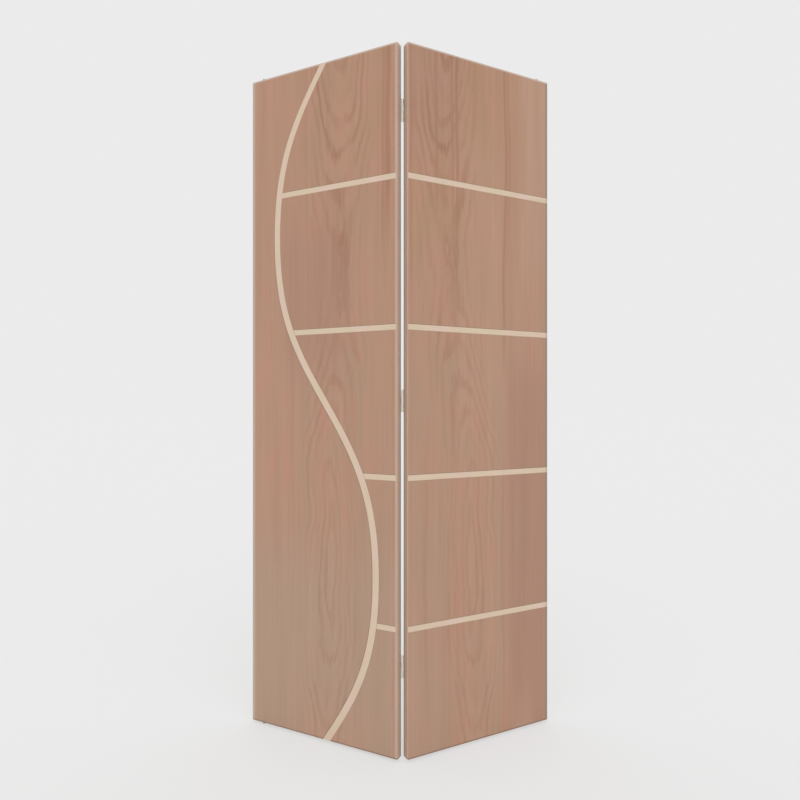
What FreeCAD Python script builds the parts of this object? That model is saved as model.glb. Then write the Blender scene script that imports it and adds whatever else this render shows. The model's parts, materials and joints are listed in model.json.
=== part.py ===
import FreeCAD, Part
import math
import os

# Two-leaf bifold closet door: a pivot leaf, which turns on a pin beside the jamb, and a
# lead leaf hinged to it, whose roller runs in the head track. Both are solid-core flush
# leaves: lumber core, plywood skins and solid edge bands. Their faces carry flush inlays.
#
# Frame, millimetres: origin at the lower end of the bottom pivot pin, on its axis.
# +X runs along the track from the pivot to the guide, +Z is up, +Y points into the closet.
# Everything is first built with the door shut, and then folded to the stored pose.

# ---- driving dimensions ------------------------------------------------------------
LEAF_HEIGHT = 2007.0        # 79 in leaf for an 80 in opening
LEAF_WIDTH = 507.0          # two leaves and the gap between them make 40 in
LEAF_THICKNESS = 25.4       # 1 in: a 3/4 in core between 1/8 in skins
FOLD_ANGLE = 27.0           # how far each leaf is turned from the shut door
LEAF_GAP = 2.0              # between the two meeting edges when shut
PIVOT_SETBACK = 38.0        # from a leaf's outer edge to its pivot or guide axis
PIN_PROUD = 9.5             # how far pins stand out of the leaf's ends

# ---- how a leaf is made up ------------------------------------------------------------
SKIN = 3.2                  # plywood skin, front and back
BAND = 5.0                  # solid edge band
ARRIS = 4.5                 # rounding along the bands' front corners
BACK_ARRIS = 1.5
STILE_WIDTH = 57.0
RAIL_HEIGHT = 60.0
STAVES = 6                  # columns of core blocks across a leaf
STAVE_LENGTH = 460.0        # longest block in the core
STAVE_SHORTEST = 150.0
STAVE_STAGGER = 0.37        # share of a block by which one column steps past the last

# ---- inlays, heights measured from the leaf's lower end -------------------------------
INLAY_DEPTH = 2.4
CROSS_WIDTH = 18.0
CROSS_LOWEST = 363.9        # middle of the lowest cross strip
CROSS_PITCH = 423.6
CROSS_COUNT = 4
CURVE_WIDTH_LOW = 22.5      # the curved strip, at its foot and up to its upper bend
CURVE_WIDTH_TOP = 17.0      # and where it runs out of the leaf's top
CURVE_TAPER_FROM = 1500.0   # height at which it starts to narrow
CURVE_MIDDLE = 239.5        # its mean distance from the meeting edge
CURVE_SWING = 181.0         # how far it swings either side of that
CURVE_FULLNESS = 10.2       # third harmonic, which makes the bends rounder
CURVE_LOW_BEND = 495.2      # height of the bend nearest the meeting edge
CURVE_HALF_WAVE = 1011.0    # from that bend up to the other one
CURVE_ARCS = 12             # arcs that make up each side of the strip
CURVE_OVERRUN = 20.0        # past the leaf's ends, before it is cut off square

# ---- hinges ------------------------------------------------------------------------------
HINGE_HEIGHTS = (250.0, 1003.5, 1827.0)
AXIS_BEHIND = 5.0           # hinge axis, behind the back faces
HINGE_LENGTH = 64.0
PLATE_REACH = 30.0          # from the hinge axis to the plate's far edge
PLATE_THICKNESS = 2.0
PLATE_CORNER = 4.0
KNUCKLES = 3
KNUCKLE_RADIUS = 4.0
KNUCKLE_GAP = 0.4
HINGE_PIN_RADIUS = 2.0
RUNNING = 0.05              # radial clearance of what turns or slides
SCREW_RADIUS = 1.8
SCREW_HEAD_RADIUS = 3.6
SCREW_TIP_RADIUS = 0.6
SCREW_LENGTH = 18.0
SCREW_SIDES = 6
SCREW_SPREAD = 22.0         # of the outer two screws, above and below the middle one
SCREW_MARGIN = 4.0          # from a screw's head to the barrel or the plate's far edge

# ---- pivots and guide ---------------------------------------------------------------------
PIN_RADIUS = 4.76           # 3/8 in pins
THREAD_RADIUS = 4.0
BUSH_RADIUS = 7.0
BUSH_LENGTH = 42.0
SPRUNG_BUSH_LENGTH = 40.0
BUSH_FLOOR = 2.0
FLANGE_RADIUS = 9.5
FLANGE = 1.2
LIP = 3.0                   # what keeps a sprung pin in its bush
CHAMBER_RADIUS = 5.9
COLLAR_RADIUS = 5.8
COLLAR = 4.0
SHANK_RADIUS = 5.0          # of a sprung pin inside its bush; its free end is PIN_RADIUS
SHANK_SHOWS = 0.5
SPRING_RADIUS = 4.2         # middle of the wire
SPRING_WIRE = 1.0           # its wire, square in section
SPRING_TURNS = 5
SPRING_SIDES = 8            # straight runs in each turn
SPRING_SEAT = 0.1           # left at each end, where the wire's end tilts
NUT_THICKNESS = 2.8
NUT_FLATS = 14.0
NUT_GAP = 0.2
THREAD_REACH = 30.0         # how far the bottom pin reaches into the leaf
CUP_RADIUS = 8.5            # cup in the lead leaf's head, which takes the roller when pressed in
CUP_DEPTH = 6.0
ROLLER_RADIUS = 8.0
ROLLER_HEIGHT = 5.0
ROLLER_LOW = 2.4            # underside of the roller above the leaf's end
ROLLER_PLAY = 0.2
SPINDLE_RADIUS = 3.0
SPINDLE_HEAD_RADIUS = 4.5
SPINDLE_HEAD = 1.0

# ---- worked out from them ---------------------------------------------------------------------
PIVOT_SIDE = -1             # the pivot leaf lies on the -X side of the hinge axis
LEAD_SIDE = 1
FRONT_Y = -LEAF_THICKNESS / 2
BACK_Y = LEAF_THICKNESS / 2
HINGE_X = LEAF_WIDTH - PIVOT_SETBACK + LEAF_GAP / 2
HINGE_Y = BACK_Y + AXIS_BEHIND
GUIDE_X = 2 * HINGE_X
FOOT_Z = PIN_PROUD
HEAD_Z = PIN_PROUD + LEAF_HEIGHT
NUT_FOOT = FOOT_Z - FLANGE - NUT_GAP - NUT_THICKNESS
CORE_FRONT = SKIN
CORE_BACK = LEAF_THICKNESS - SKIN
INNER = BAND + STILE_WIDTH
OUTER = LEAF_WIDTH - BAND - STILE_WIDTH
UP = FreeCAD.Vector(0, 0, 1)
ORIGIN = FreeCAD.Vector(0, 0, 0)
MITRED = 1                  # corner style of a swept section
TOUCHING = 1e-6


def point(x, y, z):
    return FreeCAD.Vector(x, y, z)


def along(side, u):
    """X of a point u from a leaf's meeting edge, with the door shut."""
    return HINGE_X + side * (LEAF_GAP / 2 + u)


def block(side, u, w, v):
    """A box in a leaf: u from the meeting edge, w back from the front face, v up from its foot."""
    x = sorted(along(side, end) for end in u)
    corner = point(x[0], FRONT_Y + w[0], FOOT_Z + v[0])
    return Part.makeBox(x[1] - x[0], w[1] - w[0], v[1] - v[0], corner)


def rod(radius, x, y, low, high):
    return Part.makeCylinder(radius, high - low, point(x, y, low), UP)


def turned(profile, x, y):
    """A solid of revolution about a vertical axis, from its (radius, height) outline."""
    corners = [point(radius, 0, height) for radius, height in profile]
    face = Part.Face(Part.makePolygon(corners + corners[:1]))
    solid = face.revolve(ORIGIN, UP, 360)
    solid.translate(point(x, y, 0))
    return solid


def polygon(sides, radius, z):
    """A regular outline about the Z axis, at height z."""
    turns = [2 * math.pi * number / sides for number in range(sides + 1)]
    return Part.makePolygon([point(radius * math.cos(a), radius * math.sin(a), z) for a in turns])


def upright_edge(shape, x, y):
    """The edge of a shape that stands upright at a given place."""
    for edge in shape.Edges:
        ends = [vertex.Point for vertex in edge.Vertexes]
        if all(math.hypot(end.x - x, end.y - y) < TOUCHING for end in ends):
            return edge
    raise ValueError(f"no upright edge at {x}, {y}")


# ---- the leaves -----------------------------------------------------------------------------


def edge_band(side, outer):
    """Solid band along one long edge, its free corners rounded."""
    span = (LEAF_WIDTH - BAND, LEAF_WIDTH) if outer else (0, BAND)
    band = block(side, span, (0, LEAF_THICKNESS), (0, LEAF_HEIGHT))
    free_edge = along(side, LEAF_WIDTH if outer else 0)
    rounded = band.makeFillet(ARRIS, [upright_edge(band, free_edge, FRONT_Y)])
    return rounded.makeFillet(BACK_ARRIS, [upright_edge(rounded, free_edge, BACK_Y)])


def curve_centre(v):
    """Distance of the curved strip's middle from the meeting edge at height v."""
    phase = math.pi * (v - CURVE_LOW_BEND) / CURVE_HALF_WAVE
    return CURVE_MIDDLE - CURVE_SWING * math.cos(phase) + CURVE_FULLNESS * math.cos(3 * phase)


def curve_width(v):
    taper = max(0.0, v - CURVE_TAPER_FROM) / (LEAF_HEIGHT - CURVE_TAPER_FROM)
    return CURVE_WIDTH_LOW + taper * (CURVE_WIDTH_TOP - CURVE_WIDTH_LOW)


def curve_point(v, hand):
    """A point of the curved strip's left (-1) or right (1) side, square across from height v."""
    step = 1.0
    slope = (curve_centre(v + step) - curve_centre(v - step)) / (2 * step)
    offset = hand * curve_width(v) / 2 / math.hypot(1, slope)
    u = curve_centre(v) + offset
    return point(along(PIVOT_SIDE, u), FRONT_Y, FOOT_Z + v - offset * slope)


def curve_side(hand):
    """One long side of the curved strip, as a chain of arcs that overruns both ends of the leaf."""
    span = (LEAF_HEIGHT + 2 * CURVE_OVERRUN) / CURVE_ARCS
    arcs = []
    for number in range(CURVE_ARCS):
        low = number * span - CURVE_OVERRUN
        start, middle, end = [curve_point(low + share * span, hand) for share in (0, 0.5, 1)]
        arcs.append(Part.Arc(start, middle, end).toShape())
    return arcs


def curve_strip():
    """The curved strip, cut off square with the leaf's ends."""
    ends = []
    for v in (-CURVE_OVERRUN, LEAF_HEIGHT + CURVE_OVERRUN):
        ends.append(Part.makeLine(curve_point(v, -1), curve_point(v, 1)))
    outline = Part.Wire(Part.__sortEdges__(curve_side(-1) + curve_side(1) + ends))
    strip = Part.Face(outline).extrude(point(0, INLAY_DEPTH, 0))
    leaf_end = block(PIVOT_SIDE, (0, LEAF_WIDTH), (0, INLAY_DEPTH), (0, LEAF_HEIGHT))
    return strip.common(leaf_end).Solids[0]


def cross_height(number):
    """Middle of a cross strip above the leaf's foot, counted from 1 at the bottom."""
    return CROSS_LOWEST + (number - 1) * CROSS_PITCH


def cross_block(side, number, end):
    middle = cross_height(number)
    rise = (middle - CROSS_WIDTH / 2, middle + CROSS_WIDTH / 2)
    return block(side, (BAND, end), (0, INLAY_DEPTH), rise)


def butted_strip(number, curve):
    """A cross strip of the pivot leaf, which ends against the curved one."""
    reach = curve_centre(cross_height(number))
    pieces = cross_block(PIVOT_SIDE, number, reach).cut(curve).Solids
    return max(pieces, key=lambda piece: piece.Volume)


def core(side):
    """Lumber core: columns of blocks glued edge to edge, their ends staggered."""
    width = (OUTER - INNER) / STAVES
    foot = RAIL_HEIGHT
    head = LEAF_HEIGHT - RAIL_HEIGHT
    blocks = []
    for column in range(STAVES):
        span = (INNER + column * width, INNER + (column + 1) * width)
        shift = column * STAVE_STAGGER % 1
        low = foot
        high = foot + max(STAVE_SHORTEST, STAVE_LENGTH * (1 - shift))
        while low < head:
            high = head if head - high < STAVE_SHORTEST else high
            blocks.append(block(side, span, (CORE_FRONT, CORE_BACK), (low, high)))
            low = high
            high = low + STAVE_LENGTH
    return Part.makeCompound(blocks)


def frame(side, outer_name):
    """Stiles and rails round the core."""
    thick = (CORE_FRONT, CORE_BACK)
    full = (0, LEAF_HEIGHT)
    return {
        outer_name: block(side, (OUTER, OUTER + STILE_WIDTH), thick, full),
        "hinge_stile": block(side, (BAND, INNER), thick, full),
        "bottom_rail": block(side, (INNER, OUTER), thick, (0, RAIL_HEIGHT)),
        "top_rail": block(side, (INNER, OUTER), thick, (LEAF_HEIGHT - RAIL_HEIGHT, LEAF_HEIGHT)),
    }


def leaf(side, outer_name):
    """What both leaves share, by piece name, with no inlay or hardware let in yet."""
    pieces = frame(side, outer_name)
    pieces["core_blocks"] = core(side)
    face = (BAND, LEAF_WIDTH - BAND)
    full = (0, LEAF_HEIGHT)
    pieces["front_skin"] = block(side, face, (0, SKIN), full)
    pieces["back_skin"] = block(side, face, (CORE_BACK, LEAF_THICKNESS), full)
    pieces["hinge_edge_band"] = edge_band(side, False)
    pieces["outer_edge_band"] = edge_band(side, True)
    return pieces


def let_in_strips(pieces, strips):
    """Rout each strip's groove out of the face, and add the strip itself."""
    for name, strip in strips.items():
        for receiver in ("front_skin", "outer_edge_band"):
            if pieces[receiver].common(strip).Volume > 1:
                pieces[receiver] = pieces[receiver].cut(strip)
        pieces[name] = strip


def pivot_leaf():
    pieces = leaf(PIVOT_SIDE, "pivot_stile")
    curve = curve_strip()
    strips = {"curved_inlay": curve}
    for number in range(1, CROSS_COUNT + 1):
        strips[f"cross_inlay_{number}"] = butted_strip(number, curve)
    let_in_strips(pieces, strips)
    for low, high in ((FOOT_Z, FOOT_Z + BUSH_LENGTH), (HEAD_Z - SPRUNG_BUSH_LENGTH, HEAD_Z)):
        pieces["pivot_stile"] = pieces["pivot_stile"].cut(rod(BUSH_RADIUS, 0, 0, low, high))
    return pieces


def lead_leaf():
    pieces = leaf(LEAD_SIDE, "guide_stile")
    rounded = edge_band(LEAD_SIDE, True).fuse(pieces["front_skin"])
    strips = {}
    for number in range(1, CROSS_COUNT + 1):
        strip = cross_block(LEAD_SIDE, number, LEAF_WIDTH).common(rounded)
        strips[f"cross_inlay_{number}"] = strip.removeSplitter().Solids[0]
    let_in_strips(pieces, strips)
    cup = HEAD_Z - CUP_DEPTH
    seat = rod(BUSH_RADIUS, GUIDE_X, 0, cup - SPRUNG_BUSH_LENGTH, cup)
    mouth = rod(CUP_RADIUS, GUIDE_X, 0, cup, HEAD_Z)
    pieces["guide_stile"] = pieces["guide_stile"].cut(seat.fuse(mouth))
    return pieces


# ---- hinges ---------------------------------------------------------------------------------


def knuckle_spans(middle):
    """Lower and upper end of each knuckle of a hinge."""
    pitch = HINGE_LENGTH / KNUCKLES
    foot = middle - HINGE_LENGTH / 2
    spans = []
    for number in range(KNUCKLES):
        low = foot + number * pitch + KNUCKLE_GAP / 2
        spans.append((low, low + pitch - KNUCKLE_GAP))
    return spans


def screw_places(side, middle):
    """Where the screws of one plate stand: the middle one is set nearer the barrel."""
    near = side * (KNUCKLE_RADIUS + SCREW_MARGIN + SCREW_HEAD_RADIUS)
    far = side * (PLATE_REACH - SCREW_MARGIN - SCREW_HEAD_RADIUS)
    return [
        (HINGE_X + far, middle - SCREW_SPREAD),
        (HINGE_X + near, middle),
        (HINGE_X + far, middle + SCREW_SPREAD),
    ]


def screw(x, z):
    """Countersunk wood screw, driven into the back of a leaf."""
    seat = BACK_Y + PLATE_THICKNESS
    neck = seat - PLATE_THICKNESS
    tip = seat - SCREW_LENGTH
    outlines = [
        polygon(SCREW_SIDES, SCREW_HEAD_RADIUS, seat),
        polygon(SCREW_SIDES, SCREW_RADIUS, neck),
        polygon(SCREW_SIDES, SCREW_TIP_RADIUS, tip),
    ]
    solid = Part.makeLoft(outlines, True, True)
    solid.rotate(ORIGIN, point(1, 0, 0), -90)
    solid.translate(point(x, 0, z))
    return solid


def is_plate_corner(edge, reach):
    ends = [vertex.Point for vertex in (edge.Vertexes[0], edge.Vertexes[-1])]
    crosswise = (ends[0] - ends[1]).cross(point(0, 1, 0)).Length < TOUCHING
    return crosswise and abs(ends[0].x - reach) < TOUCHING


def plate_blank(side, middle):
    """The flat of a hinge plate, with its two far corners rounded."""
    reach = HINGE_X + side * PLATE_REACH
    x = sorted((HINGE_X, reach))
    corner = point(x[0], BACK_Y, middle - HINGE_LENGTH / 2)
    plate = Part.makeBox(PLATE_REACH, PLATE_THICKNESS, HINGE_LENGTH, corner)
    corners = [edge for edge in plate.Edges if is_plate_corner(edge, reach)]
    return plate.makeFillet(PLATE_CORNER, corners)


def knuckle_room(start, end):
    """Space that one plate leaves for a knuckle of the other."""
    clear = KNUCKLE_RADIUS + KNUCKLE_GAP
    low = start - KNUCKLE_GAP
    high = end + KNUCKLE_GAP
    corner = point(HINGE_X - clear, BACK_Y - clear, low)
    return Part.makeBox(2 * clear, 2 * clear, high - low, corner)


def hinge_plate(side, middle):
    """Surface plate with its own knuckles: the outer two on the pivot leaf, one on the lead leaf."""
    first = 0 if side == PIVOT_SIDE else 1
    play = 0 if side == PIVOT_SIDE else RUNNING
    plate = plate_blank(side, middle)
    for number, (start, end) in enumerate(knuckle_spans(middle)):
        if number % 2 == first:
            plate = plate.fuse(rod(KNUCKLE_RADIUS, HINGE_X, HINGE_Y, start, end))
        else:
            plate = plate.cut(knuckle_room(start, end))
    bore = rod(HINGE_PIN_RADIUS + play, HINGE_X, HINGE_Y, middle - HINGE_LENGTH, middle + HINGE_LENGTH)
    plate = plate.cut(bore)
    for x, z in screw_places(side, middle):
        plate = plate.cut(screw(x, z))
    return plate.removeSplitter().Solids[0]


def hinge_pin(middle):
    """Pin pressed into the outer knuckles, flush at both ends."""
    low = middle - (HINGE_LENGTH - KNUCKLE_GAP) / 2
    return rod(HINGE_PIN_RADIUS, HINGE_X, HINGE_Y, low, low + HINGE_LENGTH - KNUCKLE_GAP)


def add_hinges(pivot_pieces, lead_pieces):
    """Three hinges; their screws are let into the back skin and the stile of each leaf."""
    middles = [FOOT_Z + height for height in HINGE_HEIGHTS]
    nodes = {"hinge_pins": Part.makeCompound([hinge_pin(middle) for middle in middles])}
    for side, name, pieces in (
        (PIVOT_SIDE, "pivot", pivot_pieces),
        (LEAD_SIDE, "lead", lead_pieces),
    ):
        places = [place for middle in middles for place in screw_places(side, middle)]
        screws = [screw(x, z) for x, z in places]
        for receiver in ("back_skin", "hinge_stile"):
            pieces[receiver] = pieces[receiver].cut(screws)
        pieces["hinge_screws"] = Part.makeCompound(screws)
        plates = [hinge_plate(side, middle) for middle in middles]
        nodes[f"hinge_{name}_plates"] = Part.makeCompound(plates)
    return nodes


# ---- pivots and guide ---------------------------------------------------------------------------


def bottom_pivot_pin():
    """Steel pin: plain end for the floor bracket below, threaded shank above."""
    end = NUT_FOOT
    top = FOOT_Z + THREAD_REACH
    plain = [(0, 0), (PIN_RADIUS, 0), (PIN_RADIUS, end)]
    threaded = [(THREAD_RADIUS, end), (THREAD_RADIUS, top), (0, top)]
    return turned(plain + threaded, 0, 0)


def adjusting_nut():
    """Hexagon nut under the leaf: screwing it up the pin raises the door."""
    corner = NUT_FLATS / 2 / math.cos(math.pi / 6)
    hexagon = Part.Face(polygon(6, corner, NUT_FOOT)).extrude(point(0, 0, NUT_THICKNESS))
    return hexagon.cut(rod(THREAD_RADIUS + RUNNING, 0, 0, 0, FOOT_Z))


def bottom_pivot_bush():
    """Nylon bush in the leaf's foot, which turns on the pin."""
    bore = THREAD_RADIUS + RUNNING
    roof = FOOT_Z + BUSH_LENGTH
    return turned([
        (bore, FOOT_Z - FLANGE), (FLANGE_RADIUS, FOOT_Z - FLANGE), (FLANGE_RADIUS, FOOT_Z),
        (BUSH_RADIUS, FOOT_Z), (BUSH_RADIUS, roof), (0, roof), (0, roof - BUSH_FLOOR),
        (bore, roof - BUSH_FLOOR),
    ], 0, 0)


def sprung_bush(x, sunk):
    """Nylon bush in a leaf's head: a chamber for the spring, closed by a lip round the pin."""
    bore = SHANK_RADIUS + RUNNING
    top = HEAD_Z - sunk
    lip = top - LIP
    foot = top - SPRUNG_BUSH_LENGTH
    floor = foot + BUSH_FLOOR
    return turned([
        (bore, top), (BUSH_RADIUS, top), (BUSH_RADIUS, foot), (0, foot), (0, floor),
        (CHAMBER_RADIUS, floor), (CHAMBER_RADIUS, lip), (bore, lip),
    ], x, 0)


def plunger_foot(sunk):
    """Collar of a sprung pin, from its axis out to the shank."""
    lip = HEAD_Z - sunk - LIP - RUNNING
    return [(0, lip - COLLAR), (COLLAR_RADIUS, lip - COLLAR), (COLLAR_RADIUS, lip), (SHANK_RADIUS, lip)]


def top_pivot_pin():
    step = HEAD_Z + SHANK_SHOWS
    top = HEAD_Z + PIN_PROUD
    return turned(plunger_foot(0) + [
        (SHANK_RADIUS, step), (PIN_RADIUS, step), (PIN_RADIUS, top), (0, top),
    ], 0, 0)


def guide_pin():
    """Sprung pin with a spindle and a riveted head, on which the roller turns."""
    shoulder = HEAD_Z + ROLLER_LOW - ROLLER_PLAY
    head = HEAD_Z + ROLLER_LOW + ROLLER_HEIGHT + ROLLER_PLAY
    top = head + SPINDLE_HEAD
    return turned(plunger_foot(CUP_DEPTH) + [
        (SHANK_RADIUS, shoulder), (SPINDLE_RADIUS, shoulder), (SPINDLE_RADIUS, head),
        (SPINDLE_HEAD_RADIUS, head), (SPINDLE_HEAD_RADIUS, top), (0, top),
    ], GUIDE_X, 0)


def guide_roller():
    low = HEAD_Z + ROLLER_LOW
    top = low + ROLLER_HEIGHT
    tread = rod(ROLLER_RADIUS, GUIDE_X, 0, low, top)
    return tread.cut(rod(SPINDLE_RADIUS + RUNNING, GUIDE_X, 0, low - 1, top + 1))


def spring(x, sunk):
    """Compression spring between the bush's floor and the pin's collar, in short straight runs."""
    half = SPRING_WIRE / 2
    seat = half + SPRING_SEAT
    top = HEAD_Z - sunk
    low = top - SPRUNG_BUSH_LENGTH + BUSH_FLOOR + seat
    rise = top - LIP - RUNNING - COLLAR - seat - low
    runs = SPRING_SIDES * SPRING_TURNS
    path = []
    for number in range(runs + 1):
        angle = 2 * math.pi * number / SPRING_SIDES
        across = SPRING_RADIUS * math.cos(angle)
        path.append(point(across, SPRING_RADIUS * math.sin(angle), low + rise * number / runs))
    square = [(-half, -half), (half, -half), (half, half), (-half, half), (-half, -half)]
    section = Part.makePolygon([point(SPRING_RADIUS + a, 0, low + b) for a, b in square])
    coil = Part.makePolygon(path).makePipeShell([section], True, False, MITRED)
    coil.translate(point(x, 0, 0))
    return coil


# ---- folding and writing -------------------------------------------------------------------------


def fold_pivot_leaf(shape):
    folded = shape.copy()
    folded.rotate(ORIGIN, UP, -FOLD_ANGLE)
    return folded


def fold_lead_leaf(shape):
    folded = shape.copy()
    folded.rotate(point(HINGE_X, HINGE_Y, 0), UP, 2 * FOLD_ANGLE)
    return fold_pivot_leaf(folded)


def main():
    os.makedirs("parts", exist_ok=True)
    pivot_pieces = pivot_leaf()
    lead_pieces = lead_leaf()
    hinges = add_hinges(pivot_pieces, lead_pieces)
    pivot = {
        "bottom_pivot_bush": bottom_pivot_bush(),
        "top_pivot_bush": sprung_bush(0, 0),
        "top_pivot_pin": top_pivot_pin(),
        "top_pivot_spring": spring(0, 0),
        "hinge_pivot_plates": hinges["hinge_pivot_plates"],
        "hinge_pins": hinges["hinge_pins"],
    }
    lead = {
        "guide_bush": sprung_bush(GUIDE_X, CUP_DEPTH),
        "guide_pin": guide_pin(),
        "guide_spring": spring(GUIDE_X, CUP_DEPTH),
        "guide_roller": guide_roller(),
        "hinge_lead_plates": hinges["hinge_lead_plates"],
    }
    pivot.update({f"pivot_leaf_{name}": shape for name, shape in pivot_pieces.items()})
    lead.update({f"lead_leaf_{name}": shape for name, shape in lead_pieces.items()})
    nodes = {"bottom_pivot_pin": bottom_pivot_pin(), "adjusting_nut": adjusting_nut()}
    nodes.update({name: fold_pivot_leaf(shape) for name, shape in pivot.items()})
    nodes.update({name: fold_lead_leaf(shape) for name, shape in lead.items()})
    for name, shape in nodes.items():
        if not shape.isValid():
            raise ValueError(f"{name} isn't a valid shape")
        shape.exportStep(f"parts/{name}.step")
    print(len(nodes), "nodes")


main()
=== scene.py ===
"""Bifold closet door: finishes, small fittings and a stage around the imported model.

Metres, row frame: the origin is the lower end of the bottom pivot pin, +X runs along the track
from the pivot to the guide, +Z is up and +Y points into the closet.
"""

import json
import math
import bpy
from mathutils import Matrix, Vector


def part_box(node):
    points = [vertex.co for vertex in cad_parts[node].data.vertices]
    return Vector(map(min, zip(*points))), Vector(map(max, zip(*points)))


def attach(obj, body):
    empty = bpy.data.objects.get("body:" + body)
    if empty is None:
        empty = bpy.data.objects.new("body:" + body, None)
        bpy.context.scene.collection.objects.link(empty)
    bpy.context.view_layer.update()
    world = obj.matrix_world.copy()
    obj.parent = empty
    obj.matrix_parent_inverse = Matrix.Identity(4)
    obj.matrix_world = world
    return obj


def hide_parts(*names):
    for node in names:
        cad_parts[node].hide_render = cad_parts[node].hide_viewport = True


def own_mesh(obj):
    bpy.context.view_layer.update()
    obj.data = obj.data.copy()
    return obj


bl_info = {
    "name": "Bifold closet door",
    "version": (1, 0, 0),
    "blender": (4, 5, 0),
    "location": "View3D > Sidebar > Closet door",
    "description": "Finishes, fittings and stage of a two-leaf inlaid closet door",
    "category": "Object",
}

import bmesh
import bpy

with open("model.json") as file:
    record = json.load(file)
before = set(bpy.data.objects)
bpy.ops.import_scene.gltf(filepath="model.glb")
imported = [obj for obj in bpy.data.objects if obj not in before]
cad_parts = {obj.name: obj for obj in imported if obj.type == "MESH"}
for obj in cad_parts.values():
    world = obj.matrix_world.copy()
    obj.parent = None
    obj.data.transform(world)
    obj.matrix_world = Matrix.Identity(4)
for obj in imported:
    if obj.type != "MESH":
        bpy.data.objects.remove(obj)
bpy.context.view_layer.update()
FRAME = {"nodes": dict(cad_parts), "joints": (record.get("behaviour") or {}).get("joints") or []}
NODES = FRAME["nodes"]
MM = 0.001

# ---- sizes and places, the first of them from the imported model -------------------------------


def joint(name):
    """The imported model's joint of that name."""
    return next(found for found in FRAME["joints"] if found["name"] == name)


FOLD = math.radians(-joint("leaf_swing")["range_deg"][0])   # each leaf's turn from the shut door
GUIDE_X = sum(corner.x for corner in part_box("guide_roller")) / 2
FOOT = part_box("pivot_leaf_front_skin")[0].z
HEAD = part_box("pivot_leaf_front_skin")[1].z
LEAF_HEIGHT = HEAD - FOOT
LEAF_WIDTH = 507 * MM
LEAF_THICKNESS = 25.4 * MM
PIVOT_SETBACK = 38 * MM         # from a leaf's outer edge to its pivot or guide axis
INLAY_DEPTH = 2.4 * MM
CROSS_WIDTH = 18 * MM
CROSS_LOWEST = 363.9 * MM       # middle of the lowest cross strip above the leaf's foot
CROSS_PITCH = 423.6 * MM        # from one cross strip's middle to the next
GROOVE_SHADOW_SHIFT = 0.5 * MM           # how far a strip's glue lines are moved off its middle, so that one line is thicker as a painted shadow of the groove's wall
REACH = LEAF_WIDTH - PIVOT_SETBACK      # from a leaf's own axis to its meeting edge
LEAVES = ("pivot", "lead")
TURN = {"pivot": -FOLD, "lead": FOLD}
SIDE = {"pivot": -1, "lead": 1}         # where a leaf lies from the fold
AXIS_X = {"pivot": 0.0, "lead": GUIDE_X}
HINGE_HEIGHTS = (250 * MM, 1003.5 * MM, 1827 * MM)
PLATE_THICKNESS = 2 * MM
SCREW_OUTER = 21.4 * MM         # an outer screw's distance from the meeting edge
SCREW_MIDDLE = 10.6 * MM        # the middle screw's
SCREW_SPREAD = 22 * MM          # from the middle screw up or down to the outer ones
SCREW_DOME = 0.9 * MM           # how far a screw's head stands above its plate
SCREW_TIP = 0.5 * MM            # left bare below the thread
SCREW_RECESS = (4.0 * MM, 0.9 * MM, 3.4 * MM)   # an arm of the cross, its lower half in the head
SECOND_ARM = 0.96               # the other arm's depth as a share of that
CLOSED_TURN = 2.1               # rise of a spring's closed turn, in radii of its wire
STRIP_PROUD = 0.08 * MM         # how far the curved strip stands above the face
STRIP_COVER = 0.5 * MM          # how much wider it is than its groove, so that no gap shows
DOUBLE = 1e-6                   # points nearer to each other than this are merged
ONE_POINT = ((0, 0, 0),)        # start of a tree that doesn't read its start mesh
CRISP = 35                      # degrees above which an edge is crisp
CRISP_WIRE = 80                 # the same for round wire, whose ends alone are crisp
FLOOR_HALF = 40.0               # half of the floor's side, in metres


def linear(text):
    """An sRGB hex colour as linear red, green, blue and alpha."""
    channels = [int(text[at:at + 2], 16) / 255 for at in (0, 2, 4)]
    return tuple(
        c / 12.92 if c <= 0.04045 else ((c + 0.055) / 1.055) ** 2.4 for c in channels
    ) + (1.0,)


def colour(name, description, text):
    """A colour property with its default written as sRGB hex."""
    return bpy.props.FloatVectorProperty(
        name=name, description=description, subtype="COLOR", size=4, min=0, max=1,
        default=linear(text))


def number(name, description, default, **kind):
    """A number property; kind holds its unit, subtype or precision."""
    return bpy.props.FloatProperty(name=name, description=description, default=default, **kind)


def length(name, description, default):
    """A number property in metres."""
    return number(name, description, default, unit="LENGTH", precision=4)


# ---- settings --------------------------------------------------------------------------------


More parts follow.
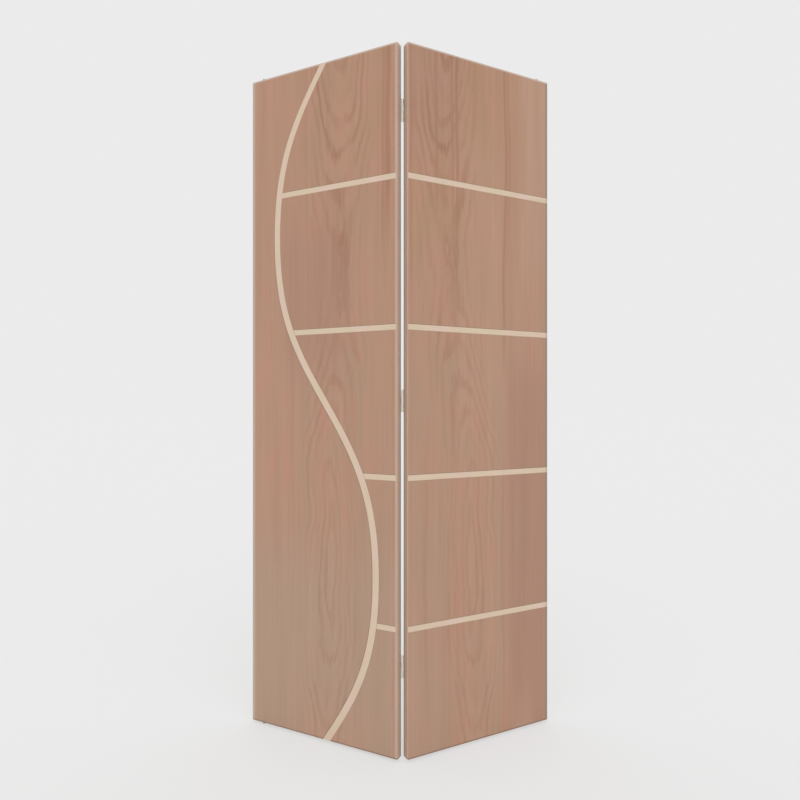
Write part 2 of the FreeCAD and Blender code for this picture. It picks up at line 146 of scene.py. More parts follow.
class ClosetVeneerSettings(bpy.types.PropertyGroup):
    """Cherry veneer of the skins, solid lipping of the edges and poplar inside."""

    tan: colour("Tan", "Where the sheet is more olive", "B49077")
    rose: colour("Rose", "Where the sheet is pinker", "BC8D75")
    brown: colour("Brown", "Where the sheet is browner, towards the head", "B28869")
    russet: colour("Russet", "Where the sheet is darkest", "AE856F")
    pale: colour("Pale", "Where the sheet is palest", "BC957D")
    sap: colour("Sapwood", "Greener tone towards the foot", "B4957F")
    grain: colour("Grain", "Dark edge of each growth ring", "965F45")
    pore: colour("Pore", "Fine open pores", "7D5B47")
    figure_low: number("Figure at the foot", "How much the growth rings show", 0.45)
    figure_high: number("Figure at the head", "How much the growth rings show", 0.85)
    ring_spacing: length("Ring spacing", "Between growth rings as the knife cut them", 16 * MM)
    ring_rise: length("Ring rise", "How much further from the heart the waist lies", 104 * MM)
    eye_height: length(
        "Eye height", "Height above the foot at which the cut ran nearest the heart", 515 * MM)
    figure_length: length("Figure length", "From one eye of the figure to the next", 1770 * MM)
    # the lipping is paler than the sheet, partly its own tone and partly a painted highlight on its
    # rounded corner at the fold; the lead leaf's fold corner is paler still, a stronger painted
    # highlight
    lipping: colour("Lipping", "Rounded corner of a meeting edge", "C9A692")
    lipping_fold: colour("Lead fold edge", "Rounded corner of the lead leaf at the fold", "D8B49E")
    # the next two paint light on the outer rounded corners: a pale highlight on the pivot leaf and
    # darker shade on the lead leaf
    lipping_pivot: colour("Pivot edge", "Rounded corner of the pivot leaf's outer edge", "C6B4A6")
    lipping_lead: colour("Guide edge", "Rounded corner of the lead leaf's outer edge", "9A8374")
    # painted shade along the back corner of the lead leaf's meeting edge, deep in the gap between
    # the leaves
    lipping_back: colour("Back corner", "Corner at the fold where the finish pooled", "7E6C57")
    lipping_side: colour(
        "Lipping's side", "Narrow faces of the leaves, where the finish soaked in", "BEA895")
    # the next two are painted light: shade on the rounded edge at a leaf's foot, and a highlight
    # along its head
    painted_foot_shade: colour("Foot edge", "Where the face rolls over at a leaf's foot", "6B5140")
    painted_head_highlight: colour("Head edge", "Where the face meets a leaf's head", "D8C9BB")
    ply_dark: colour("Darker ply", "Crossbands at the skins' cut edges", "A98B6B")
    ply_pale: colour("Paler ply", "Crossbands at the skins' cut edges", "CBB089")
    poplar: colour("Poplar", "Core, stiles and rails inside the leaves", "CFB894")
    poplar_heart: colour("Poplar heartwood", "Where the core is greener", "BDAA88")


class ClosetInlaySettings(bpy.types.PropertyGroup):
    """Maple strips let into the faces."""

    maple: colour("Maple", "Main colour of the strips", "DCC9AD")
    maple_warm: colour("Warm maple", "Where a strip is pinker", "E2C6B5")
    maple_line: colour("Maple grain", "Fine lines along a strip", "CDB193")
    joint_line: colour("Glue line", "Thin dark line along a strip's edges", "7E6C57")
    width_low: length("Width at the foot", "Of the curved strip, up to its upper bend", 22.5 * MM)
    width_top: length("Width at the head", "Of the curved strip, where it leaves the leaf", 17 * MM)
    taper_from: length("Taper from", "Height at which the curved strip starts to narrow", 1500 * MM)
    middle: length("Middle", "Mean distance of the curved strip from the meeting edge", 239.5 * MM)
    swing: length("Swing", "How far the curved strip swings either side of that", 181.0 * MM)
    fullness: length("Fullness", "Third harmonic, which makes the bends rounder", 10.2 * MM)
    low_bend: length("Low bend", "Height of the bend nearest the meeting edge", 495.2 * MM)
    half_wave: length("Half wave", "From that bend up to the other one", 1011 * MM)


class ClosetHardwareSettings(bpy.types.PropertyGroup):
    """Hinges, pivots and guide."""

    enamel: colour("Enamel", "White enamel of the hinges and their screws", "FBF8F0")
    worn_enamel: colour("Worn enamel", "Where hands and dirt have dulled it", "CFC8B8")
    nylon: colour("Nylon", "Moulded bushes and roller", "E4DFD2")
    aged_nylon: colour("Aged nylon", "Where it is a little yellower", "D8D1C0")
    zinc: colour("Zinc", "Zinc-plated steel of the pins and nut", "B9BCC0")
    spring_steel: colour("Spring steel", "Wire of the springs", "8C8F94")
    screw_head: length("Screw head", "Radius of a hinge screw's head", 3.65 * MM)
    screw_shank: length("Screw shank", "Radius of its shank under the head", 1.75 * MM)
    screw_length: length("Screw length", "From the plate's face to the tip", 18 * MM)
    wire: length("Wire", "Radius of a spring's wire", 0.5 * MM)
    coil: length("Coil", "Radius of a spring at the middle of its wire", 4.2 * MM)


class ClosetStageSettings(bpy.types.PropertyGroup):
    """Floor, light and camera."""

    backdrop: colour("Backdrop", "Behind the door", "EBEBEB")
    floor: colour("Floor", "Under the door", "F0F0F0")
    shadow_lift: number("Shadow lift", "How much of the door's shadow on the floor is hidden", 0.62)
    ambient: number("Ambient", "Strength of the even light from all round", 0.85)
    key: number("Key", "Strength of the soft light from the front", 0.45)
    key_height: number(
        "Key height", "Angle of that light above the floor", math.radians(48), subtype="ANGLE")
    key_softness: number(
        "Key softness", "Angle that the light fills, seen from the door", math.radians(50),
        subtype="ANGLE")
    camera_distance: length("Camera distance", "In front of the pivot's axis", 1.9982)
    camera_height: length("Camera height", "Above the lower end of the bottom pin", 1.0045)
    camera_across: length("Camera across", "From the pivot's axis along the track", 0.3622)
    lens: number("Lens", "Focal length in millimetres for the sensor's width", 28.575)
    sensor: number("Sensor", "Width of the camera's sensor in millimetres", 36.0)
    shift_across: number(
        "Shift across", "Sideways shift as a share of the frame", 0.0256, precision=5)
    shift_up: number("Shift up", "Upward shift as a share of the frame", 0.00475, precision=5)


SETTINGS = {
    "closet_veneer": ClosetVeneerSettings,
    "closet_inlay": ClosetInlaySettings,
    "closet_hardware": ClosetHardwareSettings,
    "closet_stage": ClosetStageSettings,
}


# ---- nodes and materials ---------------------------------------------------------------------


def add(tree, kind, inputs=None, **settings):
    """Adds a node. Its inputs go by name, or by number where names repeat. They are plain values,
    or the sockets or nodes that feed them, of which a node gives its first output in use. A list
    feeds all of its members to one input."""
    node = tree.nodes.new(kind)
    for name, value in settings.items():
        setattr(node, name, value)
    for key, value in (inputs or {}).items():
        target = node.inputs[key] if isinstance(key, int) else next(
            socket for socket in node.inputs if socket.name == key and socket.enabled)
        for source in value if isinstance(value, list) else [value]:
            if isinstance(source, bpy.types.Node):
                source = next(socket for socket in source.outputs if socket.enabled)
            if isinstance(source, bpy.types.NodeSocket):
                tree.links.new(source, target)
            else:
                target.default_value = source
    return node


def blank_material(name):
    """An empty material; returns it with its tree."""
    material = bpy.data.materials.new(name)
    material.use_nodes = True
    material.node_tree.nodes.clear()
    return material, material.node_tree


def coat(tree, tint, roughness, relief, strength, depth, more):
    """Ends a material in its surface, with a slight relief of some depth in metres."""
    bump = add(tree, "ShaderNodeBump", {"Height": relief, "Strength": strength, "Distance": depth})
    surface = add(tree, "ShaderNodeBsdfPrincipled", {
        "Base Color": tint, "Roughness": roughness, "Normal": bump, **more})
    add(tree, "ShaderNodeOutputMaterial", {"Surface": surface})


def lacquer(tree, tint, relief, roughness, depth):
    """Ends a material in satin-lacquered wood, whose pores leave a slight relief under the film."""
    coat(tree, tint, roughness, relief, 0.35, depth, {"IOR": 1.5})


def leaf_place(tree, leaf):
    """Vector of u from the meeting edge, w back from the front face and v up from the foot."""
    side, turn = SIDE[leaf], -FOLD
    cos, sin = math.cos(turn), math.sin(turn)
    axis = side * AXIS_X[leaf]
    start = (REACH - cos * axis, LEAF_THICKNESS / 2 - sin * axis, -FOOT)
    here = add(tree, "ShaderNodeTexCoord")
    return add(tree, "ShaderNodeMapping", {
        "Vector": here.outputs["Object"], "Scale": (side, 1, 1), "Rotation": (0, 0, turn),
        "Location": start})


def stretched_noise(tree, place, size, detail=2.0, shift=0.0):
    """Noise whose grains measure size = (along u, w, v) in millimetres."""
    scale = tuple(1000 / millimetres for millimetres in size)
    mapped = add(tree, "ShaderNodeMapping", {
        "Vector": place, "Scale": scale, "Location": (shift, shift, shift)})
    return add(tree, "ShaderNodeTexNoise", {
        "Vector": mapped, "Scale": 1.0, "Detail": detail, "Roughness": 0.55})


def uneven(tree, place, size, detail, shift, reach, result=(0.0, 1.0)):
    """Stretched noise with its values from low to high in reach drawn out to those in result."""
    return add(tree, "ShaderNodeMapRange", {
        "Value": stretched_noise(tree, place, size, detail, shift), "From Min": reach[0],
        "From Max": reach[1], "To Min": result[0], "To Max": result[1]})


def shaded(tree, tint, grain, result, reach=(0.25, 0.75)):
    """A tint times factors from low to high in result, as a grain runs over its reach."""
    shade = add(tree, "ShaderNodeMapRange", {
        "Value": grain, "From Min": reach[0], "From Max": reach[1], "To Min": result[0],
        "To Max": result[1]})
    return add(tree, "ShaderNodeMix", {
        "Factor": 1.0, "A": tint, "B": shade}, data_type="RGBA", blend_type="MULTIPLY")


# the heart's distance from the meeting edge: low on both leaves, and high on each
HEART_LOW = 224 * MM
HEART_HIGH = {"pivot": 186 * MM, "lead": 128 * MM}
HEART_WANDER = 24 * MM
HEART_MOVES = (0.6, 1.6)        # heights above the foot between which it goes from low to high
FIGURE_RISES = (0.8, 1.7)       # heights between which the figure gets stronger
BROWN_RISES = (0.9, 1.95)       # heights between which the sheet turns browner
BROWN_SHARE = {"pivot": 0.5, "lead": 0.85}      # how brown it is at its head
MARK_FADE = 260 * MM                            # over which a mark's ends fade
# dark mineral streaks in millimetres: middle's distance from the meeting edge, half width, foot,
# head, and strength
STREAKS = {
    "pivot": (
        (9, 4, -200, 2200, 0.18), (31, 8, 1520, 2300, 0.42), (45, 6, 1450, 2300, 0.28),
        (62, 4, 1400, 1900, 0.14), (300, 5, 1250, 2300, 0.10), (352, 6, 300, 1200, 0.10),
    ),
    "lead": (
        (10, 5, 1300, 2300, 0.22), (96, 6, 1560, 2300, 0.24), (150, 3, 1560, 2300, 0.36),
        (165, 4, 1450, 2300, 0.44), (337, 4, 1150, 2300, 0.36), (350, 5, 1500, 2300, 0.22),
        (330, 4, 150, 800, 0.14), (60, 6, 200, 900, 0.10),
    ),
}
# broad bands of another tone in millimetres: their sides' distances from the meeting edge, foot,
# head, and strength
TONE_BANDS = {
    "pivot": {
        "rose": ((330, 520, -300, 2300, 0.45), (-20, 90, 900, 1700, 0.35)),
        "sap": ((-40, 560, -300, 560, 0.85),),
        "russet": ((160, 400, 1080, 1560, 0.6),),
        # the pale band from below the foot to 80 mm above it is painted light, lifting the shade
        # near the floor
        "pale": ((150, 200, 300, 700, 0.3), (105, 320, -300, 80, 0.9)),
    },
    "lead": {
        "rose": (
            (205, 250, -300, 700, 0.3), (-20, 60, -300, 500, 0.2), (300, 420, 1200, 2300, 0.4),
        ),
        "sap": ((-40, 120, -300, 500, 0.4),),
        "russet": ((345, 560, -300, 1120, 0.95), (-40, 190, 1720, 2400, 0.55)),
        "pale": (
            # the pale bands from below the foot to 60 mm above it are painted light, lifting the
            # shade near the floor
            (400, 560, 1380, 2400, 0.8), (180, 330, 950, 1800, 0.4), (180, 260, -300, 60, 0.9),
            (365, 450, -300, 60, 0.9),
        ),
    },
}
# painted light along a leaf's long edges: where the sheet starts to take on the tone of the
# lipping's painted highlight or shade, where it has most of it, and that tone: from the meeting
# edge, then from the outer edge
EDGE_PAINTED_LIGHT = {
    "pivot": ((9.5 * MM, 8 * MM, "lipping"), (-17 * MM, -5 * MM, "lipping_pivot")),
    "lead": ((0.1 * MM, 0.0, "lipping"), (-12.5 * MM, -8.5 * MM, "lipping_lead")),
}


def growth_rings(tree, place, settings, leaf):
    """The log's rings on the knife's cut: their count out from the heart, and the place's distance
    sideways from the heart and the swing of the cut, which is -1 where it ran furthest out."""
    parts = add(tree, "ShaderNodeSeparateXYZ", {"Vector": place})
    u, v = parts.outputs["X"], parts.outputs["Z"]
    heart = add(tree, "ShaderNodeMapRange", {
        "Value": v, "From Min": HEART_MOVES[0], "From Max": HEART_MOVES[1], "To Min": HEART_LOW,
        "To Max": HEART_HIGH[leaf]}, interpolation_type="SMOOTHSTEP")
    wander = uneven(
        tree, place, (420, 420, 520), 2, 0.0, (0.3, 0.7), (-HEART_WANDER, HEART_WANDER))
    off_heart = add(tree, "ShaderNodeMath", {0: u, 1: heart}, operation="SUBTRACT")
    across = add(tree, "ShaderNodeMath", {0: off_heart, 1: wander}, operation="ADD")
    turns = 2 * math.pi / settings.figure_length
    phase = add(tree, "ShaderNodeMath", {
        0: v, 1: turns, 2: -turns * settings.eye_height}, operation="MULTIPLY_ADD")
    wave = add(tree, "ShaderNodeMath", {0: phase}, operation="COSINE")
    depth = add(tree, "ShaderNodeMath", {
        0: wave, 1: -settings.ring_rise / 2, 2: settings.ring_rise / 2 + settings.ring_spacing / 2,
    }, operation="MULTIPLY_ADD")
    both = add(tree, "ShaderNodeCombineXYZ", {"X": across, "Y": depth})
    distance = add(tree, "ShaderNodeVectorMath", {0: both}, operation="LENGTH")
    wander_slow = stretched_noise(tree, place, (70, 70, 300), 3, 1.0)
    ragged = stretched_noise(tree, place, (8, 20, 60), 3, 4.0)
    slow = add(tree, "ShaderNodeMath", {0: wander_slow, 1: 2.0}, operation="MULTIPLY")
    wobble = add(tree, "ShaderNodeMath", {0: ragged, 1: 0.7, 2: slow}, operation="MULTIPLY_ADD")
    count = add(tree, "ShaderNodeMath", {
        0: distance, 1: 1 / settings.ring_spacing, 2: wobble}, operation="MULTIPLY_ADD")
    away = add(tree, "ShaderNodeMath", {0: across}, operation="ABSOLUTE")
    return count, away, wave


def figure_of(tree, place, settings, leaf):
    """How dark the figure is: ring edges, strong near the heart and faint towards the leaf's sides,
    and dark marks along the heart where the cut ran furthest out."""
    count, away, wave = growth_rings(tree, place, settings, leaf)
    turned = add(tree, "ShaderNodeMath", {0: count, 1: 2 * math.pi}, operation="MULTIPLY")
    cosine = add(tree, "ShaderNodeMath", {0: turned}, operation="COSINE")
    late = add(tree, "ShaderNodeMapRange", {
        "Value": cosine, "From Min": 0.4, "From Max": -1.0}, interpolation_type="SMOOTHSTEP")
    ring = add(tree, "ShaderNodeMath", {0: count}, operation="FLOOR")
    own = add(tree, "ShaderNodeTexWhiteNoise", {"W": ring}, noise_dimensions="1D")
    strength = add(tree, "ShaderNodeMapRange", {"Value": own, "To Min": 0.25, "To Max": 1.0})
    faded = uneven(tree, place, (90, 90, 420), 2, 3.0, (0.38, 0.62), (0.2, 1.0))
    near = add(tree, "ShaderNodeMapRange", {
        "Value": away, "From Min": 45 * MM, "From Max": 125 * MM, "To Min": 1.0, "To Max": 0.03,
    }, interpolation_type="SMOOTHSTEP")
    fibres = uneven(tree, place, (3.5, 10, 90), 3, 21.0, (0.35, 0.65), (0.4, 1.0))
    lines = late
    for share in (strength, faded, near, fibres):
        lines = add(tree, "ShaderNodeMath", {0: lines, 1: share}, operation="MULTIPLY")
    waist = add(tree, "ShaderNodeMapRange", {
        "Value": wave, "From Min": -1.0, "From Max": -0.55, "To Min": 1.0, "To Max": 0.0})
    core = add(tree, "ShaderNodeMapRange", {
        "Value": away, "From Min": 2 * MM, "From Max": 30 * MM, "To Min": 0.75, "To Max": 0.0,
    }, interpolation_type="SMOOTHSTEP")
    broken = uneven(tree, place, (18, 30, 60), 2, 9.0, (0.4, 0.7))
    dark = core
    for share in (waist, broken):
        dark = add(tree, "ShaderNodeMath", {0: dark, 1: share}, operation="MULTIPLY")
    shown = add(tree, "ShaderNodeMath", {0: lines, 1: dark}, operation="MAXIMUM")
    v = add(tree, "ShaderNodeSeparateXYZ", {"Vector": place}).outputs["Z"]
    amount = add(tree, "ShaderNodeMapRange", {
        "Value": v, "From Min": FIGURE_RISES[0], "From Max": FIGURE_RISES[1],
        "To Min": settings.figure_low, "To Max": settings.figure_high})
    return add(tree, "ShaderNodeMath", {0: shown, 1: amount}, operation="MULTIPLY")


def marks_of(tree, place, marks, soft):
    """Strength of the strongest of some upright marks, each given as (low u, high u, foot, head,
    strength) in millimetres, with edges that wander and fade over a soft width."""
    bend = uneven(tree, place, (200, 200, 380), 2, 13.0, (0.3, 0.7), (-6 * MM, 6 * MM))
    parts = add(tree, "ShaderNodeSeparateXYZ", {"Vector": place})
    u = add(tree, "ShaderNodeMath", {0: parts.outputs["X"], 1: bend}, operation="ADD")
    strongest = None
    for low, high, foot, head, strength in marks:
        shares = []
        spans = ((u, low, high, soft), (parts.outputs["Z"], foot, head, MARK_FADE))
        for value, start, end, fade in spans:
            middle, half = (start + end) / 2 * MM, (end - start) / 2 * MM
            off = add(tree, "ShaderNodeMath", {0: value, 1: middle}, operation="SUBTRACT")
            away = add(tree, "ShaderNodeMath", {0: off}, operation="ABSOLUTE")
            shares.append(add(tree, "ShaderNodeMapRange", {
                "Value": away, "From Min": half - fade / 2, "From Max": half + fade / 2,
                "To Min": 1.0, "To Max": 0.0}, interpolation_type="SMOOTHSTEP"))
        both = add(tree, "ShaderNodeMath", {0: shares[0], 1: shares[1]}, operation="MULTIPLY")
        mark = add(tree, "ShaderNodeMath", {0: both, 1: strength}, operation="MULTIPLY")
        strongest = mark if strongest is None else add(tree, "ShaderNodeMath", {
            0: strongest, 1: mark}, operation="MAXIMUM")
    return strongest


def open_pores(tree, place, tint, size, shift):
    """Draws fine open pores on a tint; returns it with the pores' depth."""
    depth = uneven(tree, place, size, 2, shift, (0.62, 0.75), (0.0, 0.4))
    pored = add(tree, "ShaderNodeMix", {
        "Factor": depth, "A": tint, "B": bpy.context.scene.closet_veneer.pore}, data_type="RGBA")
    return pored, depth


def veneer_material(leaf):
    """Plain-sliced cherry veneer, satin lacquered: arched figure, faint streaks and fine pores."""
    settings = bpy.context.scene.closet_veneer
    material, tree = blank_material(f"plain_sliced_cherry_veneer_{leaf}")
    place = leaf_place(tree, leaf)
    figure = figure_of(tree, place, settings, leaf)
    blotch = uneven(tree, place, (70, 70, 230), 3, 7.0, (0.42, 0.66))
    v = add(tree, "ShaderNodeSeparateXYZ", {"Vector": place}).outputs["Z"]
    high = add(tree, "ShaderNodeMapRange", {
        "Value": v, "From Min": BROWN_RISES[0], "From Max": BROWN_RISES[1],
        "To Max": BROWN_SHARE[leaf]}, interpolation_type="SMOOTHSTEP")
    sheet = add(tree, "ShaderNodeMix", {
        "Factor": high, "A": settings.tan, "B": settings.brown}, data_type="RGBA")
    for tone, bands in TONE_BANDS[leaf].items():
        share = marks_of(tree, place, bands, 60 * MM)
        if tone == "rose":
            share = add(tree, "ShaderNodeMath", {0: share, 1: blotch}, operation="MAXIMUM")
        sheet = add(tree, "ShaderNodeMix", {
            "Factor": share, "A": sheet, "B": getattr(settings, tone)}, data_type="RGBA")
    marks = [(u - half, u + half, foot, head, strength)
             for u, half, foot, head, strength in STREAKS[leaf]]
    mineral = marks_of(tree, place, marks, 7 * MM)
    darker = add(tree, "ShaderNodeMath", {0: figure, 1: mineral}, operation="MAXIMUM")
    figured = add(tree, "ShaderNodeMix", {
        "Factor": darker, "A": sheet, "B": settings.grain}, data_type="RGBA")
    # fibre bundles are drawn about 5 mm wide, coarser than the real ones, so that they show
    streak = stretched_noise(tree, place, (5, 30, 260), 4, 11.0)
    bundle = stretched_noise(tree, place, (13, 40, 420), 3, 23.0)
    broad = stretched_noise(tree, place, (34, 60, 1100), 2, 17.0)
    tint = figured
    for grain, spread in ((streak, 0.03), (bundle, 0.04), (broad, 0.04)):
        tint = shaded(tree, tint, grain, (1 - spread, 1 + spread))
    pored, pores = open_pores(tree, place, tint, (0.5, 4, 7), 5.0)
    relief = add(tree, "ShaderNodeMath", {0: streak, 1: pores}, operation="SUBTRACT")
    edge_lit = painted_edge_light(tree, place, pored, leaf)
    edged = painted_end_light(tree, place, edge_lit)
    skin = plywood_edge(tree, place, edged)
    lacquer(tree, skin, relief, 0.48, 0.05 * MM)
    return material


def painted_edge_light(tree, place, sheet, leaf):
    """Along a leaf's long edges the sheet takes on the tone of the lipping beside it, as painted
    light: a highlight on the pivot leaf and shade by the lead leaf's outer edge.
    """
    settings = bpy.context.scene.closet_veneer
    u = add(tree, "ShaderNodeSeparateXYZ", {"Vector": place}).outputs["X"]
    for origin, (start, end, tone) in zip((0.0, LEAF_WIDTH), EDGE_PAINTED_LIGHT[leaf]):
        share = add(tree, "ShaderNodeMapRange", {
            "Value": u, "From Min": origin + start, "From Max": origin + end, "To Max": 0.75})
        sheet = add(tree, "ShaderNodeMix", {
            "Factor": share, "A": sheet, "B": getattr(settings, tone)}, data_type="RGBA")
    return sheet


def painted_end_light(tree, place, tint):
    """Painted shade darkens the face where it rolls over at the leaf's foot, and a painted
    highlight pales it where it meets its head.
    """
    settings = bpy.context.scene.closet_veneer
    v = add(tree, "ShaderNodeSeparateXYZ", {"Vector": place}).outputs["Z"]
    foot = add(tree, "ShaderNodeMapRange", {
        "Value": v, "From Min": 2.2 * MM, "From Max": 4.4 * MM, "To Min": 0.62, "To Max": 0.0})
    head = add(tree, "ShaderNodeMapRange", {
        "Value": v, "From Min": LEAF_HEIGHT - 5 * MM, "From Max": LEAF_HEIGHT - 3.6 * MM,
        "To Max": 0.6})
    for share, tone in ((foot, settings.painted_foot_shade), (head, settings.painted_head_highlight)):
        tint = add(tree, "ShaderNodeMix", {"Factor": share, "A": tint, "B": tone}, data_type="RGBA")
    return tint


def plywood_edge(tree, place, face):
    """Below the outer veneer the skin shows its crossbands, about one ply each millimetre."""
    settings = bpy.context.scene.closet_veneer
    w = add(tree, "ShaderNodeSeparateXYZ", {"Vector": place}).outputs["Y"]
    centred = add(tree, "ShaderNodeMath", {0: w, 1: LEAF_THICKNESS / 2}, operation="SUBTRACT")
    out = add(tree, "ShaderNodeMath", {0: centred}, operation="ABSOLUTE")
    depth = add(tree, "ShaderNodeMath", {0: LEAF_THICKNESS / 2, 1: out}, operation="SUBTRACT")
    below = add(tree, "ShaderNodeMath", {0: depth, 1: 0.6 * MM}, operation="GREATER_THAN")
    ply = add(tree, "ShaderNodeMath", {0: depth, 1: 1 / (1.05 * MM)}, operation="MULTIPLY")
    half = add(tree, "ShaderNodeMath", {0: ply, 1: 2.0}, operation="MODULO")
    other = add(tree, "ShaderNodeMath", {0: half, 1: 1.0}, operation="GREATER_THAN")
    plies = add(tree, "ShaderNodeMix", {
        "Factor": other, "A": settings.ply_dark, "B": settings.ply_pale}, data_type="RGBA")
    return add(tree, "ShaderNodeMix", {"Factor": below, "A": face, "B": plies}, data_type="RGBA")


def lipping_material(leaf, edge, tint):
    """Solid cherry lipping, planed and eased: straight grain along the leaf's height."""
    settings = bpy.context.scene.closet_veneer
    material, tree = blank_material(f"solid_cherry_lipping_{leaf}_{edge}")
    place = leaf_place(tree, leaf)
    w = add(tree, "ShaderNodeSeparateXYZ", {"Vector": place}).outputs["Y"]
    side = add(tree, "ShaderNodeMapRange", {"Value": w, "From Min": 2 * MM, "From Max": 5 * MM})
    wood = add(tree, "ShaderNodeMix", {
        "Factor": side, "A": tint, "B": settings.lipping_side}, data_type="RGBA")
    if (leaf, edge) == ("lead", "hinge"):
        u = add(tree, "ShaderNodeSeparateXYZ", {"Vector": place}).outputs["X"]
        flat = add(tree, "ShaderNodeMapRange", {
            "Value": u, "From Min": 0.4 * MM, "From Max": 1.8 * MM})
        face = add(tree, "ShaderNodeMix", {
            "Factor": flat, "A": wood, "B": settings.rose}, data_type="RGBA")
        # the cross strips run on over this lipping, as far as its rounded corner
        maple, _, away = cross_maple(tree, place)
        let_in = flat
        for value, limit in ((away, CROSS_WIDTH / 2), (w, INLAY_DEPTH)):
            inside = add(tree, "ShaderNodeMath", {0: value, 1: limit}, operation="LESS_THAN")
            let_in = add(tree, "ShaderNodeMath", {0: let_in, 1: inside}, operation="MULTIPLY")
        face = add(tree, "ShaderNodeMix", {
            "Factor": let_in, "A": face, "B": maple}, data_type="RGBA")
        # painted shade at the back of the lead leaf's meeting edge, in the gap at the fold
        back = add(tree, "ShaderNodeMapRange", {
            "Value": w, "From Min": 17 * MM, "From Max": 24 * MM, "To Max": 0.6})
        wood = add(tree, "ShaderNodeMix", {
            "Factor": back, "A": face, "B": settings.lipping_back}, data_type="RGBA")
    streak = stretched_noise(tree, place, (2.2, 2.2, 140), 4, 2.0)
    streaked = shaded(tree, wood, streak, (0.88, 1.1))
    pored, pores = open_pores(tree, place, streaked, (0.5, 0.5, 7), 9.0)
    relief = add(tree, "ShaderNodeMath", {0: streak, 1: pores}, operation="SUBTRACT")
    edged = painted_end_light(tree, place, pored)
    lacquer(tree, edged, relief, 0.46, 0.05 * MM)
    return material


def maple_colour(tree, place, size, edge):
    """Maple figure with grains of one size, and its fine lines; edge is 1 on the glue line."""
    settings = bpy.context.scene.closet_inlay
    blotch = uneven(tree, place, (90, 90, 90), 2, 4.0, (0.4, 0.6))
    sheet = add(tree, "ShaderNodeMix", {
        "Factor": blotch, "A": settings.maple, "B": settings.maple_warm}, data_type="RGBA")
    line = uneven(tree, place, size, 4, 1.0, (0.45, 0.75), (0.0, 0.7))
    lined = add(tree, "ShaderNodeMix", {
        "Factor": line, "A": sheet, "B": settings.maple_line}, data_type="RGBA")
    edged = add(tree, "ShaderNodeMix", {
        "Factor": edge, "A": lined, "B": settings.joint_line}, data_type="RGBA")
    return edged, line


def glue_line(tree, away, half_width):
    """1 on the dark line of glue at a strip's edges, drawn about twice as wide so that it shows."""
    return add(tree, "ShaderNodeMapRange", {
        "Value": away, "From Min": half_width - 1.4 * MM, "From Max": half_width - 0.6 * MM,
        "To Max": 0.9})


def cross_maple(tree, place):
    """The cross strips' tone, its fine lines, and a place's distance from the nearest one's middle.
    The glue line is thicker on the upper side: a painted shadow cast by the groove's upper wall."""
    v = add(tree, "ShaderNodeSeparateXYZ", {"Vector": place}).outputs["Z"]
    step = add(tree, "ShaderNodeMath", {0: v, 1: CROSS_PITCH / 2 - CROSS_LOWEST}, operation="ADD")
    within = add(tree, "ShaderNodeMath", {0: step, 1: CROSS_PITCH}, operation="MODULO")
    off = add(tree, "ShaderNodeMath", {
        0: within, 1: CROSS_PITCH / 2 - GROOVE_SHADOW_SHIFT}, operation="SUBTRACT")
    away = add(tree, "ShaderNodeMath", {0: off}, operation="ABSOLUTE")
    edge = glue_line(tree, away, CROSS_WIDTH / 2)
    tint, line = maple_colour(tree, place, (70, 2.2, 1.6), edge)
    return tint, line, away


def cross_maple_material(leaf):
    """Maple strip, sliced and sanded flush: fine grain along it and a glue line at each edge."""
    material, tree = blank_material(f"sanded_maple_cross_strip_{leaf}")
    place = leaf_place(tree, leaf)
    tint, line, _ = cross_maple(tree, place)
    if leaf == "lead":
        # painted shade: the strips' ends darken towards the lead leaf's outer edge, in the tone of
        # the shaded lipping there
        u = add(tree, "ShaderNodeSeparateXYZ", {"Vector": place}).outputs["X"]
        outer_edge_shade = add(tree, "ShaderNodeMapRange", {
            "Value": u, "From Min": LEAF_WIDTH - 13 * MM, "From Max": LEAF_WIDTH - 4.5 * MM,
            "To Max": 0.45})
        darker = bpy.context.scene.closet_veneer.lipping_lead
        tint = add(tree, "ShaderNodeMix", {
            "Factor": outer_edge_shade, "A": tint, "B": darker}, data_type="RGBA")
    lacquer(tree, tint, line, 0.45, 0.03 * MM)
    return material


def curved_maple_material():
    """Maple strip bent to the curve: its grain follows it, with a glue line at each edge."""
    material, tree = blank_material("sanded_maple_curved_strip")
    across = add(tree, "ShaderNodeAttribute", attribute_name="across")
    along = add(tree, "ShaderNodeAttribute", attribute_name="along")
    place = add(tree, "ShaderNodeCombineXYZ", {
        "X": across.outputs["Fac"], "Z": along.outputs["Fac"]})
    # the same shift thickens one glue line as a painted shadow of the groove's wall
    off = add(tree, "ShaderNodeMath", {0: across.outputs["Fac"], 1: GROOVE_SHADOW_SHIFT}, operation="ADD")
    away = add(tree, "ShaderNodeMath", {0: off}, operation="ABSOLUTE")
    edge = glue_line(tree, away, bpy.context.scene.closet_inlay.width_low / 2)
    tint, line = maple_colour(tree, place, (1.6, 2.2, 70), edge)
    lacquer(tree, tint, line, 0.45, 0.03 * MM)
    return material


def core_material(leaf):
    """Sawn poplar core: pale straight grain, greenish heartwood in places, dry and unfinished."""
    settings = bpy.context.scene.closet_veneer
    material, tree = blank_material(f"sawn_poplar_core_{leaf}")
    place = leaf_place(tree, leaf)
    blotch = uneven(tree, place, (60, 60, 500), 2, 6.0, (0.4, 0.65))
    sheet = add(tree, "ShaderNodeMix", {
        "Factor": blotch, "A": settings.poplar, "B": settings.poplar_heart}, data_type="RGBA")
    streak = stretched_noise(tree, place, (1.8, 1.8, 90), 4, 8.0)
    tint = shaded(tree, sheet, streak, (0.84, 1.1))
    lacquer(tree, tint, streak, 0.75, 0.1 * MM)
    return material


def fine_grain(tree, size, shift=0.0):
    """Even noise with grains of one size in millimetres, on Object coordinates."""
    here = add(tree, "ShaderNodeTexCoord")
    return stretched_noise(tree, here.outputs["Object"], (size, size, size), 3, shift)


